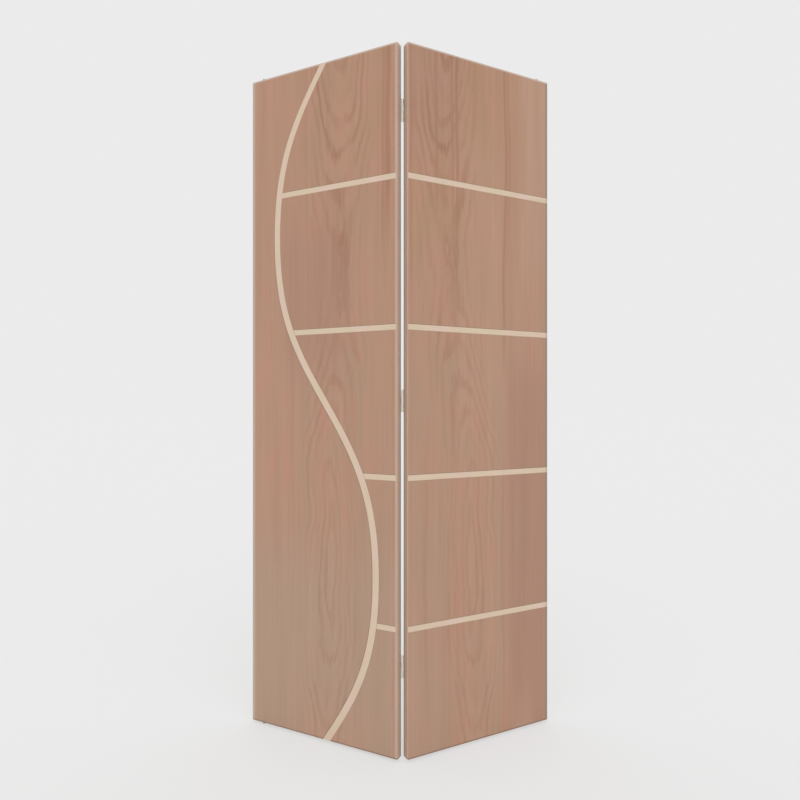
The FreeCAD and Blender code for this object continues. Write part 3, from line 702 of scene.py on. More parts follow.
def enamel_material():
    """Stoved white enamel on pressed steel: smooth film, faint orange peel, slightly worn."""
    settings = bpy.context.scene.closet_hardware
    material, tree = blank_material("stoved_white_enamel_on_steel")
    wear = add(tree, "ShaderNodeMapRange", {
        "Value": fine_grain(tree, 9.0, 2.0), "From Min": 0.6, "From Max": 0.85, "To Max": 0.2})
    tint = add(tree, "ShaderNodeMix", {
        "Factor": wear, "A": settings.enamel, "B": settings.worn_enamel}, data_type="RGBA")
    rough = add(tree, "ShaderNodeMapRange", {
        "Value": fine_grain(tree, 4.0, 6.0), "To Min": 0.22, "To Max": 0.4})
    coat(tree, tint, rough, fine_grain(tree, 1.2), 0.2, 0.03 * MM, {"IOR": 1.52})
    return material


def nylon_material():
    """Moulded nylon: milky and a little waxy, with a faint moulding texture."""
    settings = bpy.context.scene.closet_hardware
    material, tree = blank_material("moulded_nylon")
    tint = add(tree, "ShaderNodeMix", {
        "Factor": fine_grain(tree, 6.0, 1.0), "A": settings.nylon, "B": settings.aged_nylon},
        data_type="RGBA")
    coat(tree, tint, 0.42, fine_grain(tree, 0.6), 0.25, 0.02 * MM, {
        "IOR": 1.53, "Subsurface Weight": 0.15, "Subsurface Scale": 2 * MM})
    return material


def metal_material(name, tint, low, high):
    """A bare or plated steel: faint patches, fine marks and a sheen between two roughnesses."""
    material, tree = blank_material(name)
    toned = shaded(tree, tint, fine_grain(tree, 5.0, 3.0), (0.86, 1.04), (0.3, 0.7))
    rough = add(tree, "ShaderNodeMapRange", {
        "Value": fine_grain(tree, 1.5, 5.0), "To Min": low, "To Max": high})
    coat(tree, toned, rough, fine_grain(tree, 0.5), 0.2, 0.01 * MM, {"Metallic": 1.0})
    return material


def zinc_material():
    """Zinc-plated steel: pale grey with a satin sheen."""
    tint = bpy.context.scene.closet_hardware.zinc
    return metal_material("zinc_plated_steel", tint, 0.28, 0.42)


def spring_material():
    """Hard-drawn spring steel: darker grey, oiled."""
    tint = bpy.context.scene.closet_hardware.spring_steel
    return metal_material("hard_drawn_spring_steel", tint, 0.25, 0.38)


# ---- Geometry Nodes --------------------------------------------------------------------------


def node_group(name, sizes):
    """An empty Geometry Nodes tree with named inputs; returns it with its input node."""
    tree = bpy.data.node_groups.new(name, "GeometryNodeTree")
    tree.interface.new_socket("Geometry", in_out="INPUT", socket_type="NodeSocketGeometry")
    for label, value in sizes.items():
        kind = "NodeSocketInt" if isinstance(value, int) else "NodeSocketFloat"
        tree.interface.new_socket(label, in_out="INPUT", socket_type=kind)
    tree.interface.new_socket("Material", in_out="INPUT", socket_type="NodeSocketMaterial")
    tree.interface.new_socket("Geometry", in_out="OUTPUT", socket_type="NodeSocketGeometry")
    return tree, tree.nodes.new("NodeGroupInput")


def close_group(tree, given, geometry):
    """Ends a tree in real, finished geometry."""
    real = add(tree, "GeometryNodeRealizeInstances", {"Geometry": geometry})
    coated = add(tree, "GeometryNodeSetMaterial", {
        "Geometry": real, "Material": given.outputs["Material"]})
    add(tree, "NodeGroupOutput", {"Geometry": coated})


def mesh_object(name, mesh):
    """Puts a mesh in the scene."""
    thing = bpy.data.objects.new(name, mesh)
    bpy.context.scene.collection.objects.link(thing)
    return thing


def grown(name, places, make_tree, values, material, crisp=None):
    """Grows a piece from start points by a tree and keeps it as a plain closed mesh. Where crisp
    is given, its edges above that angle in degrees are crisp and the rest is smooth."""
    start = bpy.data.meshes.new(name)
    start.from_pydata([tuple(place) for place in places], [], [])
    thing = mesh_object(name, start)
    modifier = thing.modifiers.new("grow", "NODES")
    tree = modifier.node_group = make_tree(values)
    for item in tree.interface.items_tree:
        if item.in_out == "INPUT" and item.name in values:
            modifier[item.identifier] = values[item.name]
        if item.in_out == "INPUT" and item.name == "Material":
            modifier[item.identifier] = material
    bpy.context.view_layer.update()
    graph = bpy.context.evaluated_depsgraph_get()
    mesh = bpy.data.meshes.new_from_object(thing.evaluated_get(graph), depsgraph=graph)
    thing.modifiers.clear()
    thing.data = mesh
    # the tree leaves an empty slot in front of its own material
    mesh.materials.clear()
    mesh.materials.append(material)
    bpy.data.meshes.remove(start)
    mesh.name = name
    outward(thing)
    if crisp is not None:
        smooth_by_angle(thing, crisp)
    return thing


def outward(thing):
    """Merges a closed mesh's doubles and turns all of its faces outwards."""
    shape = bmesh.new()
    shape.from_mesh(thing.data)
    bmesh.ops.remove_doubles(shape, verts=shape.verts, dist=DOUBLE)
    bmesh.ops.recalc_face_normals(shape, faces=shape.faces)
    shape.to_mesh(thing.data)
    shape.free()


def smooth_by_angle(thing, degrees):
    """Smooth faces with crisp edges above an angle."""
    shape = bmesh.new()
    shape.from_mesh(thing.data)
    limit = math.radians(degrees)
    for face in shape.faces:
        face.smooth = True
    for edge in shape.edges:
        edge.smooth = len(edge.link_faces) == 2 and edge.calc_face_angle(0) < limit
    shape.to_mesh(thing.data)
    shape.free()


def strip_tree(sizes):
    """Tree of the curved strip: a long grid bent to the curve, then given its depth."""
    tree, given = node_group("curved_strip", sizes)
    size = given.outputs
    grid = add(tree, "GeometryNodeMeshGrid", {
        "Size X": 1.0, "Size Y": size["Leaf height"], "Vertices X": size["Across"],
        "Vertices Y": size["Stations"]})
    spot = add(tree, "GeometryNodeInputPosition")
    parts = add(tree, "ShaderNodeSeparateXYZ", {"Vector": spot})
    half_height = add(tree, "ShaderNodeMath", {
        0: size["Leaf height"], 1: 0.5}, operation="MULTIPLY")
    v = add(tree, "ShaderNodeMath", {0: parts.outputs["Y"], 1: half_height}, operation="ADD")
    above = add(tree, "ShaderNodeMath", {0: v, 1: size["Low bend"]}, operation="SUBTRACT")
    share = add(tree, "ShaderNodeMath", {0: above, 1: size["Half wave"]}, operation="DIVIDE")
    phase = add(tree, "ShaderNodeMath", {0: share, 1: math.pi}, operation="MULTIPLY")
    third = add(tree, "ShaderNodeMath", {0: phase, 1: 3.0}, operation="MULTIPLY")
    cos_one = add(tree, "ShaderNodeMath", {0: phase}, operation="COSINE")
    cos_three = add(tree, "ShaderNodeMath", {0: third}, operation="COSINE")
    swung = add(tree, "ShaderNodeMath", {0: cos_one, 1: size["Swing"]}, operation="MULTIPLY")
    plain = add(tree, "ShaderNodeMath", {0: size["Middle"], 1: swung}, operation="SUBTRACT")
    centre = add(tree, "ShaderNodeMath", {
        0: cos_three, 1: size["Fullness"], 2: plain}, operation="MULTIPLY_ADD")
    sin_one = add(tree, "ShaderNodeMath", {0: phase}, operation="SINE")
    sin_three = add(tree, "ShaderNodeMath", {0: third}, operation="SINE")
    lean_one = add(tree, "ShaderNodeMath", {0: sin_one, 1: size["Swing"]}, operation="MULTIPLY")
    full_three = add(tree, "ShaderNodeMath", {0: size["Fullness"], 1: -3.0}, operation="MULTIPLY")
    lean = add(tree, "ShaderNodeMath", {
        0: sin_three, 1: full_three, 2: lean_one}, operation="MULTIPLY_ADD")
    rate = add(tree, "ShaderNodeMath", {0: math.pi, 1: size["Half wave"]}, operation="DIVIDE")
    slope = add(tree, "ShaderNodeMath", {0: lean, 1: rate}, operation="MULTIPLY")
    squared = add(tree, "ShaderNodeMath", {0: slope, 1: slope, 2: 1.0}, operation="MULTIPLY_ADD")
    stretch = add(tree, "ShaderNodeMath", {0: squared}, operation="SQRT")
    width = add(tree, "ShaderNodeMapRange", {
        "Value": v, "From Min": size["Taper from"], "From Max": size["Leaf height"],
        "To Min": size["Width low"], "To Max": size["Width top"]})
    off = add(tree, "ShaderNodeMath", {0: parts.outputs["X"], 1: width}, operation="MULTIPLY")
    slant = add(tree, "ShaderNodeMath", {0: off, 1: stretch}, operation="MULTIPLY")
    u = add(tree, "ShaderNodeMath", {0: centre, 1: slant}, operation="ADD")
    x = add(tree, "ShaderNodeMath", {0: size["Reach"], 1: u}, operation="SUBTRACT")
    z = add(tree, "ShaderNodeMath", {0: v, 1: size["Foot"]}, operation="ADD")
    place = add(tree, "ShaderNodeCombineXYZ", {"X": x, "Y": size["Face"], "Z": z})
    measured = add(tree, "GeometryNodeStoreNamedAttribute", {
        "Geometry": grid, "Name": "across", "Value": off}, data_type="FLOAT")
    run = add(tree, "GeometryNodeStoreNamedAttribute", {
        "Geometry": measured, "Name": "along", "Value": v}, data_type="FLOAT")
    bent = add(tree, "GeometryNodeSetPosition", {"Geometry": run, "Position": place})
    inward = add(tree, "ShaderNodeCombineXYZ", {"Y": size["Depth"]})
    deep = add(tree, "GeometryNodeExtrudeMesh", {
        "Mesh": bent, "Offset": inward, "Offset Scale": 1.0, "Individual": False})
    lid = add(tree, "GeometryNodeFlipFaces", {"Mesh": bent})
    whole = add(tree, "GeometryNodeJoinGeometry", {"Geometry": [deep, lid]})
    closed = add(tree, "GeometryNodeMergeByDistance", {"Geometry": whole, "Distance": DOUBLE})
    turned = add(tree, "ShaderNodeCombineXYZ", {"Z": size["Turn"]})
    folded = add(tree, "GeometryNodeTransform", {"Geometry": closed, "Rotation": turned})
    close_group(tree, given, folded)
    return tree


# a hinge screw's radius as a share of its head's, against depth as a share of its length
SCREW_PROFILE = (
    (0.0, 0.02), (0.005, 0.342), (0.016, 0.589), (0.032, 0.825), (0.045, 1.0), (0.058, 1.0),
    (0.165, 0.48), (0.36, 0.46), (1.0, 0.05),
)


def screw_tree(sizes):
    """Tree of raised countersunk wood screws with a cross recess, one on each start point."""
    tree, given = node_group("hinge_screws", sizes)
    size = given.outputs
    line = add(tree, "GeometryNodeCurvePrimitiveLine", {"End": (0, 0, -1)})
    rows = add(tree, "GeometryNodeResampleCurve", {"Curve": line, "Count": 40})
    run = add(tree, "GeometryNodeSplineParameter").outputs["Factor"]
    depth = add(tree, "ShaderNodeMath", {0: run, 1: run}, operation="MULTIPLY")
    down = add(tree, "ShaderNodeMath", {0: size["Length"], 1: -1.0}, operation="MULTIPLY")
    z = add(tree, "ShaderNodeMath", {0: depth, 1: down}, operation="MULTIPLY")
    axis = add(tree, "GeometryNodeSetPosition", {
        "Geometry": rows, "Position": add(tree, "ShaderNodeCombineXYZ", {"Z": z})})
    # on the moved line the factor is the true share of the length, so it isn't squared again
    profile = add(tree, "ShaderNodeFloatCurve", {"Value": run})
    shape_profile(profile.mapping.curves[0], SCREW_PROFILE)
    radius = add(tree, "ShaderNodeMath", {0: profile, 1: size["Head"]}, operation="MULTIPLY")
    ring = add(tree, "GeometryNodeCurvePrimitiveCircle", {"Resolution": 24, "Radius": 1.0})
    blank = add(tree, "GeometryNodeCurveToMesh", {
        "Curve": axis, "Profile Curve": ring, "Scale": radius, "Fill Caps": True})
    # one arm of the cross is a little shallower, since level floors would leave the cut open
    bit = add(tree, "GeometryNodeMeshCube", {"Size": SCREW_RECESS})
    other = add(tree, "GeometryNodeTransform", {
        "Geometry": bit, "Rotation": (0, 0, math.pi / 2), "Scale": (1, 1, SECOND_ARM)})
    cut = add(tree, "GeometryNodeMeshBoolean", {
        "Mesh 1": blank, "Mesh 2": [bit, other]}, operation="DIFFERENCE")
    thread = add(tree, "GeometryNodeCurveSpiral", {
        "Resolution": 16, "Rotations": size["Thread turns"], "Start Radius": size["Thread tip"],
        "End Radius": size["Shank"], "Height": size["Thread length"]})
    ridge = add(tree, "GeometryNodeCurvePrimitiveCircle", {
        "Resolution": 3, "Radius": size["Thread ridge"]})
    wound = add(tree, "GeometryNodeCurveToMesh", {
        "Curve": thread, "Profile Curve": ridge, "Fill Caps": True})
    lowest = add(tree, "ShaderNodeCombineXYZ", {
        "Z": add(tree, "ShaderNodeMath", {0: down, 1: SCREW_TIP}, operation="ADD")})
    ridged = add(tree, "GeometryNodeTransform", {"Geometry": wound, "Translation": lowest})
    screw = add(tree, "GeometryNodeJoinGeometry", {"Geometry": [cut, ridged]})
    placed = add(tree, "GeometryNodeInstanceOnPoints", {
        "Points": given.outputs["Geometry"], "Instance": screw, "Rotation": (-math.pi / 2, 0, 0)})
    chance = add(tree, "FunctionNodeRandomValue", {"Max": math.pi, "Seed": 7}, data_type="FLOAT")
    driven = add(tree, "ShaderNodeCombineXYZ", {"Z": chance})
    turned = add(tree, "GeometryNodeRotateInstances", {
        "Instances": placed, "Rotation": driven, "Local Space": True})
    folded = add(tree, "GeometryNodeTransform", {
        "Geometry": turned,
        "Rotation": add(tree, "ShaderNodeCombineXYZ", {"Z": size["Turn"]}),
        "Translation": add(tree, "ShaderNodeCombineXYZ", {"X": size["Axis"]})})
    close_group(tree, given, folded)
    return tree


def shape_profile(curve, profile):
    """Sets a float curve to straight runs between the profile's points."""
    while len(curve.points) < len(profile):
        curve.points.new(0.5, 0.5)
    for point, place in zip(curve.points, profile):
        point.location = place
        point.handle_type = "VECTOR"


def spring_tree(sizes):
    """Tree of a compression spring of round wire. Its first and last turns are closed up, to just
    over a wire's thickness."""
    tree, given = node_group("compression_spring", sizes)
    size = given.outputs
    coil = add(tree, "GeometryNodeCurveSpiral", {
        "Resolution": 28, "Rotations": size["Turns"], "Start Radius": size["Coil"],
        "End Radius": size["Coil"], "Height": 1.0})
    spot = add(tree, "ShaderNodeSeparateXYZ", {"Vector": add(tree, "GeometryNodeInputPosition")})
    turn = add(tree, "ShaderNodeMath", {
        0: spot.outputs["Z"], 1: size["Turns"]}, operation="MULTIPLY")
    back = add(tree, "ShaderNodeMath", {0: turn, 1: size["Turns"]}, operation="SUBTRACT")
    pitch = add(tree, "ShaderNodeMath", {0: size["Wire"], 1: CLOSED_TURN}, operation="MULTIPLY")
    below = add(tree, "ShaderNodeMath", {0: turn, 1: pitch}, operation="MULTIPLY")
    above = add(tree, "ShaderNodeMath", {
        0: back, 1: pitch, 2: size["Height"]}, operation="MULTIPLY_ADD")
    last = add(tree, "ShaderNodeMath", {0: size["Turns"], 1: 1.0}, operation="SUBTRACT")
    high = add(tree, "ShaderNodeMath", {0: size["Height"], 1: pitch}, operation="SUBTRACT")
    between = add(tree, "ShaderNodeMapRange", {
        "Value": turn, "From Min": 1.0, "From Max": last, "To Min": pitch, "To Max": high},
        clamp=False)
    lower = add(tree, "ShaderNodeMath", {0: below, 1: between}, operation="MAXIMUM")
    z = add(tree, "ShaderNodeMath", {0: lower, 1: above}, operation="MINIMUM")
    wound = add(tree, "GeometryNodeSetPosition", {
        "Geometry": coil,
        "Position": add(tree, "ShaderNodeCombineXYZ", {
            "X": spot.outputs["X"], "Y": spot.outputs["Y"], "Z": z})})
    section = add(tree, "GeometryNodeCurvePrimitiveCircle", {
        "Resolution": 12, "Radius": size["Wire"]})
    wire = add(tree, "GeometryNodeCurveToMesh", {
        "Curve": wound, "Profile Curve": section, "Fill Caps": True})
    seat = add(tree, "GeometryNodeTransform", {
        "Geometry": wire,
        "Translation": add(tree, "ShaderNodeCombineXYZ", {"X": size["Axis"], "Z": size["Foot"]})})
    close_group(tree, given, seat)
    return tree


def turned_tree(sizes):
    """Tree of a turned piece. Its start points are its profile: radius along X, height along Z."""
    tree, given = node_group("turned_piece", sizes)
    size = given.outputs
    columns = add(tree, "ShaderNodeMath", {0: size["Segments"], 1: 1.0}, operation="ADD")
    grid = add(tree, "GeometryNodeMeshGrid", {"Vertices X": columns, "Vertices Y": size["Points"]})
    index = add(tree, "GeometryNodeInputIndex")
    row = add(tree, "ShaderNodeMath", {0: index, 1: size["Points"]}, operation="MODULO")
    share = add(tree, "ShaderNodeMath", {0: index, 1: size["Points"]}, operation="DIVIDE")
    column = add(tree, "ShaderNodeMath", {0: share}, operation="FLOOR")
    step = add(tree, "ShaderNodeMath", {0: 2 * math.pi, 1: size["Segments"]}, operation="DIVIDE")
    angle = add(tree, "ShaderNodeMath", {0: column, 1: step}, operation="MULTIPLY")
    profile = add(tree, "GeometryNodeSampleIndex", {
        "Geometry": size["Geometry"], "Value": add(tree, "GeometryNodeInputPosition"),
        "Index": row}, data_type="FLOAT_VECTOR")
    parts = add(tree, "ShaderNodeSeparateXYZ", {"Vector": profile}).outputs
    cos = add(tree, "ShaderNodeMath", {0: angle}, operation="COSINE")
    sin = add(tree, "ShaderNodeMath", {0: angle}, operation="SINE")
    place = add(tree, "ShaderNodeCombineXYZ", {
        "X": add(tree, "ShaderNodeMath", {0: parts["X"], 1: cos}, operation="MULTIPLY"),
        "Y": add(tree, "ShaderNodeMath", {0: parts["X"], 1: sin}, operation="MULTIPLY"),
        "Z": parts["Z"]})
    spun = add(tree, "GeometryNodeSetPosition", {"Geometry": grid, "Position": place})
    piece = add(tree, "GeometryNodeMergeByDistance", {"Geometry": spun, "Distance": DOUBLE})
    if "Thread length" in sizes:
        piece = threaded(tree, size, piece)
    seat = add(tree, "GeometryNodeTransform", {
        "Geometry": piece, "Translation": add(tree, "ShaderNodeCombineXYZ", {"X": size["Axis"]})})
    close_group(tree, given, seat)
    return tree


def threaded(tree, size, piece):
    """Adds the ridge of a screw thread round a turned piece's shank."""
    turns = add(tree, "ShaderNodeMath", {
        0: size["Thread length"], 1: size["Thread pitch"]}, operation="DIVIDE")
    line = add(tree, "GeometryNodeCurveSpiral", {
        "Resolution": 32, "Rotations": turns, "Start Radius": size["Thread radius"],
        "End Radius": size["Thread radius"], "Height": size["Thread length"]})
    ridge = add(tree, "GeometryNodeCurvePrimitiveCircle", {
        "Resolution": 3, "Radius": size["Thread ridge"]})
    wound = add(tree, "GeometryNodeCurveToMesh", {
        "Curve": line, "Profile Curve": ridge, "Fill Caps": True})
    raised = add(tree, "GeometryNodeTransform", {
        "Geometry": wound,
        "Translation": add(tree, "ShaderNodeCombineXYZ", {"Z": size["Thread foot"]})})
    return add(tree, "GeometryNodeJoinGeometry", {"Geometry": [piece, raised]})


# ---- operators -------------------------------------------------------------------------------


def finish_nodes(names, material):
    """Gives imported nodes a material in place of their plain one."""
    for name in names:
        slots = NODES[name].data.materials
        slots.clear()
        slots.append(material)


class CLOSET_OT_skins(bpy.types.Operator):
    """Veneer the front and back skins of both leaves"""

    bl_idname = "closet.skins"
    bl_label = "Skins"

    def execute(self, context):
        for leaf in LEAVES:
            names = [f"{leaf}_leaf_front_skin", f"{leaf}_leaf_back_skin"]
            finish_nodes(names, veneer_material(leaf))
        return {"FINISHED"}


class CLOSET_OT_bands(bpy.types.Operator):
    """Finish the solid lipping along the leaves' long edges"""

    bl_idname = "closet.bands"
    bl_label = "Edge bands"

    def execute(self, context):
        settings = context.scene.closet_veneer
        # each band's tint: the fold tints carry painted highlights on the rounded corners at the
        # fold, the outer ones a painted highlight on the pivot leaf and painted shade on the lead
        # leaf
        tints = {
            "pivot": (("hinge", settings.lipping), ("outer", settings.lipping_pivot)),
            "lead": (("hinge", settings.lipping_fold), ("outer", settings.lipping_lead)),
        }
        for leaf in LEAVES:
            for edge, tint in tints[leaf]:
                material = lipping_material(leaf, edge, tint)
                finish_nodes([f"{leaf}_leaf_{edge}_edge_band"], material)
        return {"FINISHED"}


class CLOSET_OT_cross_strips(bpy.types.Operator):
    """Finish the straight maple strips that cross both leaves"""

    bl_idname = "closet.cross_strips"
    bl_label = "Cross strips"

    def execute(self, context):
        for leaf in LEAVES:
            names = [name for name in NODES if name.startswith(f"{leaf}_leaf_cross_inlay")]
            finish_nodes(names, cross_maple_material(leaf))
        return {"FINISHED"}


class CLOSET_OT_curved_strip(bpy.types.Operator):
    """Make the curved maple strip of the pivot leaf"""

    bl_idname = "closet.curved_strip"
    bl_label = "Curved strip"

    def execute(self, context):
        settings = context.scene.closet_inlay
        values = {
            "Leaf height": LEAF_HEIGHT, "Across": 5, "Stations": 401,
            "Low bend": settings.low_bend, "Half wave": settings.half_wave,
            "Swing": settings.swing, "Middle": settings.middle, "Fullness": settings.fullness,
            "Taper from": settings.taper_from, "Width low": settings.width_low + STRIP_COVER,
            "Width top": settings.width_top + STRIP_COVER, "Reach": REACH, "Foot": FOOT,
            "Face": -LEAF_THICKNESS / 2 - STRIP_PROUD, "Depth": INLAY_DEPTH + STRIP_PROUD,
            "Turn": TURN["pivot"],
        }
        strip = grown("curved_strip", ONE_POINT, strip_tree, values, curved_maple_material())
        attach(strip, "pivot_leaf")
        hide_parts("pivot_leaf_curved_inlay")
        return {"FINISHED"}


class CLOSET_OT_core(bpy.types.Operator):
    """Finish the stiles, rails and core blocks inside the leaves"""

    bl_idname = "closet.core"
    bl_label = "Core"

    def execute(self, context):
        parts = (
            "pivot_stile", "guide_stile", "hinge_stile", "bottom_rail", "top_rail", "core_blocks")
        for leaf in LEAVES:
            names = [f"{leaf}_leaf_{part}" for part in parts]
            finish_nodes([name for name in names if name in NODES], core_material(leaf))
        return {"FINISHED"}


class CLOSET_OT_hinges(bpy.types.Operator):
    """Finish the hinge plates and pins and drive their screws"""

    bl_idname = "closet.hinges"
    bl_label = "Hinges"

    def execute(self, context):
        enamel = enamel_material()
        finish_nodes(["hinge_pivot_plates", "hinge_lead_plates", "hinge_pins"], enamel)
        settings = context.scene.closet_hardware
        for leaf in LEAVES:
            values = {
                "Head": settings.screw_head, "Shank": settings.screw_shank,
                "Length": settings.screw_length + SCREW_DOME, "Turn": TURN[leaf],
                "Axis": AXIS_X[leaf], "Thread length": 12 * MM, "Thread turns": 9.0,
                "Thread tip": 0.3 * MM, "Thread ridge": 0.4 * MM,
            }
            places = self.places(leaf)
            screws = grown(f"{leaf}_leaf_screws", places, screw_tree, values, enamel, CRISP)
            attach(screws, f"{leaf}_leaf")
            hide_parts(f"{leaf}_leaf_hinge_screws")
        return {"FINISHED"}

    def places(self, leaf):
        """Tops of the screws before the leaf is turned: three to a plate, the middle one
        nearer the barrel."""
        proud = LEAF_THICKNESS / 2 + PLATE_THICKNESS + SCREW_DOME
        for height in HINGE_HEIGHTS:
            for step, across in ((-1, SCREW_OUTER), (0, SCREW_MIDDLE), (1, SCREW_OUTER)):
                x = -SIDE[leaf] * (REACH - across)
                yield (x, proud, FOOT + height + step * SCREW_SPREAD)


# profiles of the turned pieces, in millimetres: radius and height above the piece's foot
FLOOR_PIN = (
    (0, 0), (3.9, 0), (4.5, 0.25), (4.76, 0.9), (4.76, 5.0), (4.45, 5.3), (3.55, 5.3),
    (3.55, 38.8), (2.9, 39.5), (0, 39.5),
)
TOP_PIN = (
    (0, 0), (5.3, 0), (5.8, 0.5), (5.8, 3.5), (5.3, 4.0), (5.0, 4.0), (5.0, 7.4), (4.76, 7.6),
    (4.76, 15.2), (4.4, 16.0), (3.6, 16.5), (0, 16.55),
)
GUIDE_PIN = (
    (0, 0), (5.3, 0), (5.8, 0.5), (5.8, 3.5), (5.3, 4.0), (5.0, 4.0), (5.0, 14.9), (4.7, 15.25),
    (3.0, 15.25), (3.0, 20.65), (4.5, 20.65), (4.5, 20.95), (3.9, 21.35), (2.4, 21.6), (0, 21.65),
)
ROLLER = (
    (3.05, 0), (7.3, 0), (7.8, 0.2), (8.0, 0.7), (8.0, 4.3), (7.8, 4.8), (7.3, 5.0), (5.6, 5.0),
    (5.2, 4.7), (3.05, 4.7), (3.05, 0),
)


class CLOSET_OT_pivots(bpy.types.Operator):
    """Finish the pivot pins, guide, bushes, roller and springs"""

    bl_idname = "closet.pivots"
    bl_label = "Pivots and guide"

    def execute(self, context):
        zinc, nylon, steel = zinc_material(), nylon_material(), spring_material()
        finish_nodes(["adjusting_nut"], zinc)
        finish_nodes(["bottom_pivot_bush", "top_pivot_bush", "guide_bush"], nylon)
        thread = {
            "Thread length": 32 * MM, "Thread pitch": 1.25 * MM, "Thread radius": 3.62 * MM,
            "Thread ridge": 0.35 * MM, "Thread foot": 6 * MM,
        }
        self.turn("bottom_pivot_pin", "floor_pin", "zinc_steel", zinc, FLOOR_PIN, thread)
        self.turn("top_pivot_pin", "top_plunger", "zinc_steel", zinc, TOP_PIN)
        self.turn("guide_pin", "guide_plunger", "zinc_steel", zinc, GUIDE_PIN)
        self.turn("guide_roller", "roller", "nylon", nylon, ROLLER)
        self.wind("top_pivot_spring", "pivot_leaf", "top_pivot_plunge", steel)
        self.wind("guide_spring", "lead_leaf", "guide_plunge", steel)
        return {"FINISHED"}

    def turn(self, node, body, slot, material, profile, thread=None):
        """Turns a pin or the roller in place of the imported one, with its edges eased."""
        low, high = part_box(node)
        places = [(radius * MM, 0, low.z + height * MM) for radius, height in profile]
        values = {
            "Points": len(places), "Segments": 64, "Axis": (low.x + high.x) / 2,
            **(thread or {}),
        }
        piece = grown(f"{node}_turned", places, turned_tree, values, material, CRISP)
        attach(piece, body)
        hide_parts(node)

    def wind(self, node, body, plunge, steel):
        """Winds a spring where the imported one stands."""
        settings = bpy.context.scene.closet_hardware
        low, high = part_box(node)
        height = high.z - low.z
        foot = low.z + settings.wire
        values = {
            "Turns": 8.0, "Coil": settings.coil, "Wire": settings.wire,
            "Height": height - 2 * settings.wire, "Axis": (low.x + high.x) / 2, "Foot": foot,
        }
        spring = grown(f"{node}_wire", ONE_POINT, spring_tree, values, steel, CRISP_WIRE)
        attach(spring, body)
        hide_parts(node)
        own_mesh(spring)


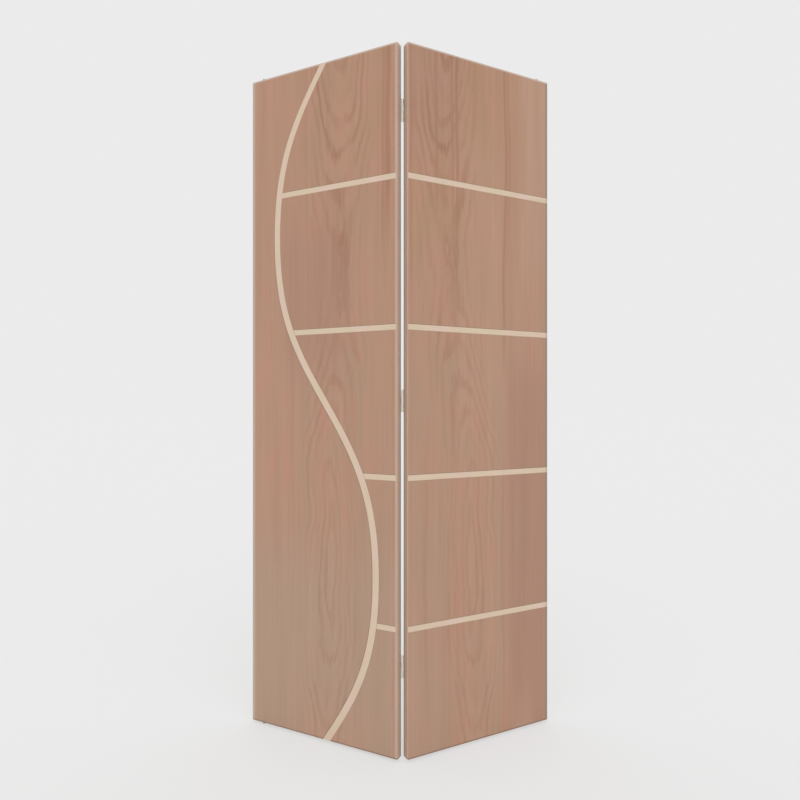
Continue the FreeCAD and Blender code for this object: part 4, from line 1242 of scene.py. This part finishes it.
class CLOSET_OT_stage(bpy.types.Operator):
    """Lay the floor and set the light and the camera"""

    bl_idname = "closet.stage"
    bl_label = "Stage"

    def execute(self, context):
        settings = context.scene.closet_stage
        self.lay_floor(settings)
        self.light(context.scene, settings)
        self.set_camera(context.scene, settings)
        context.scene.view_settings.view_transform = "Standard"
        return {"FINISHED"}

    def lay_floor(self, settings):
        """A matt floor that keeps a faint shadow of the door."""
        mesh = bpy.data.meshes.new("floor")
        ways = ((-1, -1), (1, -1), (1, 1), (-1, 1))
        corners = [(x * FLOOR_HALF, y * FLOOR_HALF, 0) for x, y in ways]
        mesh.from_pydata(corners, [], [(0, 1, 2, 3)])
        floor = mesh_object("floor", mesh)
        material, tree = blank_material("matt_painted_floor")
        lit = add(tree, "ShaderNodeBsdfDiffuse", {"Color": settings.floor})
        flat = add(tree, "ShaderNodeEmission", {"Color": settings.backdrop})
        softened = add(tree, "ShaderNodeMath", {
            0: self.seen_directly(tree), 1: settings.shadow_lift}, operation="MULTIPLY")
        shown = add(tree, "ShaderNodeMixShader", {0: softened, 1: lit, 2: flat})
        add(tree, "ShaderNodeOutputMaterial", {"Surface": shown})
        mesh.materials.append(material)

    def seen_directly(self, tree):
        """1 where the camera sees a surface, also mirrored or through glass; 0 for its light."""
        ray = add(tree, "ShaderNodeLightPath").outputs
        seen = add(tree, "ShaderNodeMath", {
            0: ray["Is Camera Ray"], 1: ray["Is Glossy Ray"]}, operation="MAXIMUM")
        return add(tree, "ShaderNodeMath", {
            0: seen, 1: ray["Is Transmission Ray"]}, operation="MAXIMUM")

    def light(self, scene, settings):
        """Even light from all round and a soft key from in front and above."""
        world = bpy.data.worlds.new("even_light")
        world.use_nodes = True
        tree = world.node_tree
        tree.nodes.clear()
        shown = self.seen_directly(tree)
        even = add(tree, "ShaderNodeBackground", {
            "Color": (1, 1, 1, 1), "Strength": settings.ambient})
        behind = add(tree, "ShaderNodeBackground", {"Color": settings.backdrop, "Strength": 1.0})
        both = add(tree, "ShaderNodeMixShader", {0: shown, 1: even, 2: behind})
        add(tree, "ShaderNodeOutputWorld", {"Surface": both})
        scene.world = world
        lamp = bpy.data.lights.new("front_key", "SUN")
        lamp.energy = settings.key
        lamp.angle = settings.key_softness
        key = bpy.data.objects.new("front_key", lamp)
        scene.collection.objects.link(key)
        key.rotation_euler = (math.pi / 2 - settings.key_height, 0, 0)

    def set_camera(self, scene, settings):
        """A level camera in front of the door."""
        data = bpy.data.cameras.new("camera")
        data.sensor_width = settings.sensor
        data.lens = settings.lens
        data.shift_x = settings.shift_across
        data.shift_y = settings.shift_up
        camera = bpy.data.objects.new("camera", data)
        camera.location = (
            settings.camera_across, -settings.camera_distance, settings.camera_height)
        camera.rotation_euler = (math.pi / 2, 0, 0)
        scene.collection.objects.link(camera)
        scene.camera = camera


STEPS = (
    CLOSET_OT_skins, CLOSET_OT_bands, CLOSET_OT_cross_strips, CLOSET_OT_curved_strip,
    CLOSET_OT_core, CLOSET_OT_hinges, CLOSET_OT_pivots, CLOSET_OT_stage,
)


class CLOSET_PT_panel(bpy.types.Panel):
    """The door's settings and the steps that make it"""

    bl_idname = "CLOSET_PT_panel"
    bl_label = "Closet door"
    bl_space_type = "VIEW_3D"
    bl_region_type = "UI"
    bl_category = "Closet door"

    def draw(self, context):
        for name, group in SETTINGS.items():
            box = self.layout.box()
            for key in group.__annotations__:
                box.prop(getattr(context.scene, name), key)
        for step in STEPS:
            self.layout.operator(step.bl_idname)


def register():
    for group in (*SETTINGS.values(), *STEPS, CLOSET_PT_panel):
        bpy.utils.register_class(group)
    for name, group in SETTINGS.items():
        setattr(bpy.types.Scene, name, bpy.props.PointerProperty(type=group))


def unregister():
    for name in SETTINGS:
        delattr(bpy.types.Scene, name)
    for group in (CLOSET_PT_panel, *STEPS, *SETTINGS.values()):
        bpy.utils.unregister_class(group)


def main():
    register()
    for step in STEPS:
        family, name = step.bl_idname.split(".")
        getattr(getattr(bpy.ops, family), name)()


if __name__ == "__main__":
    main()
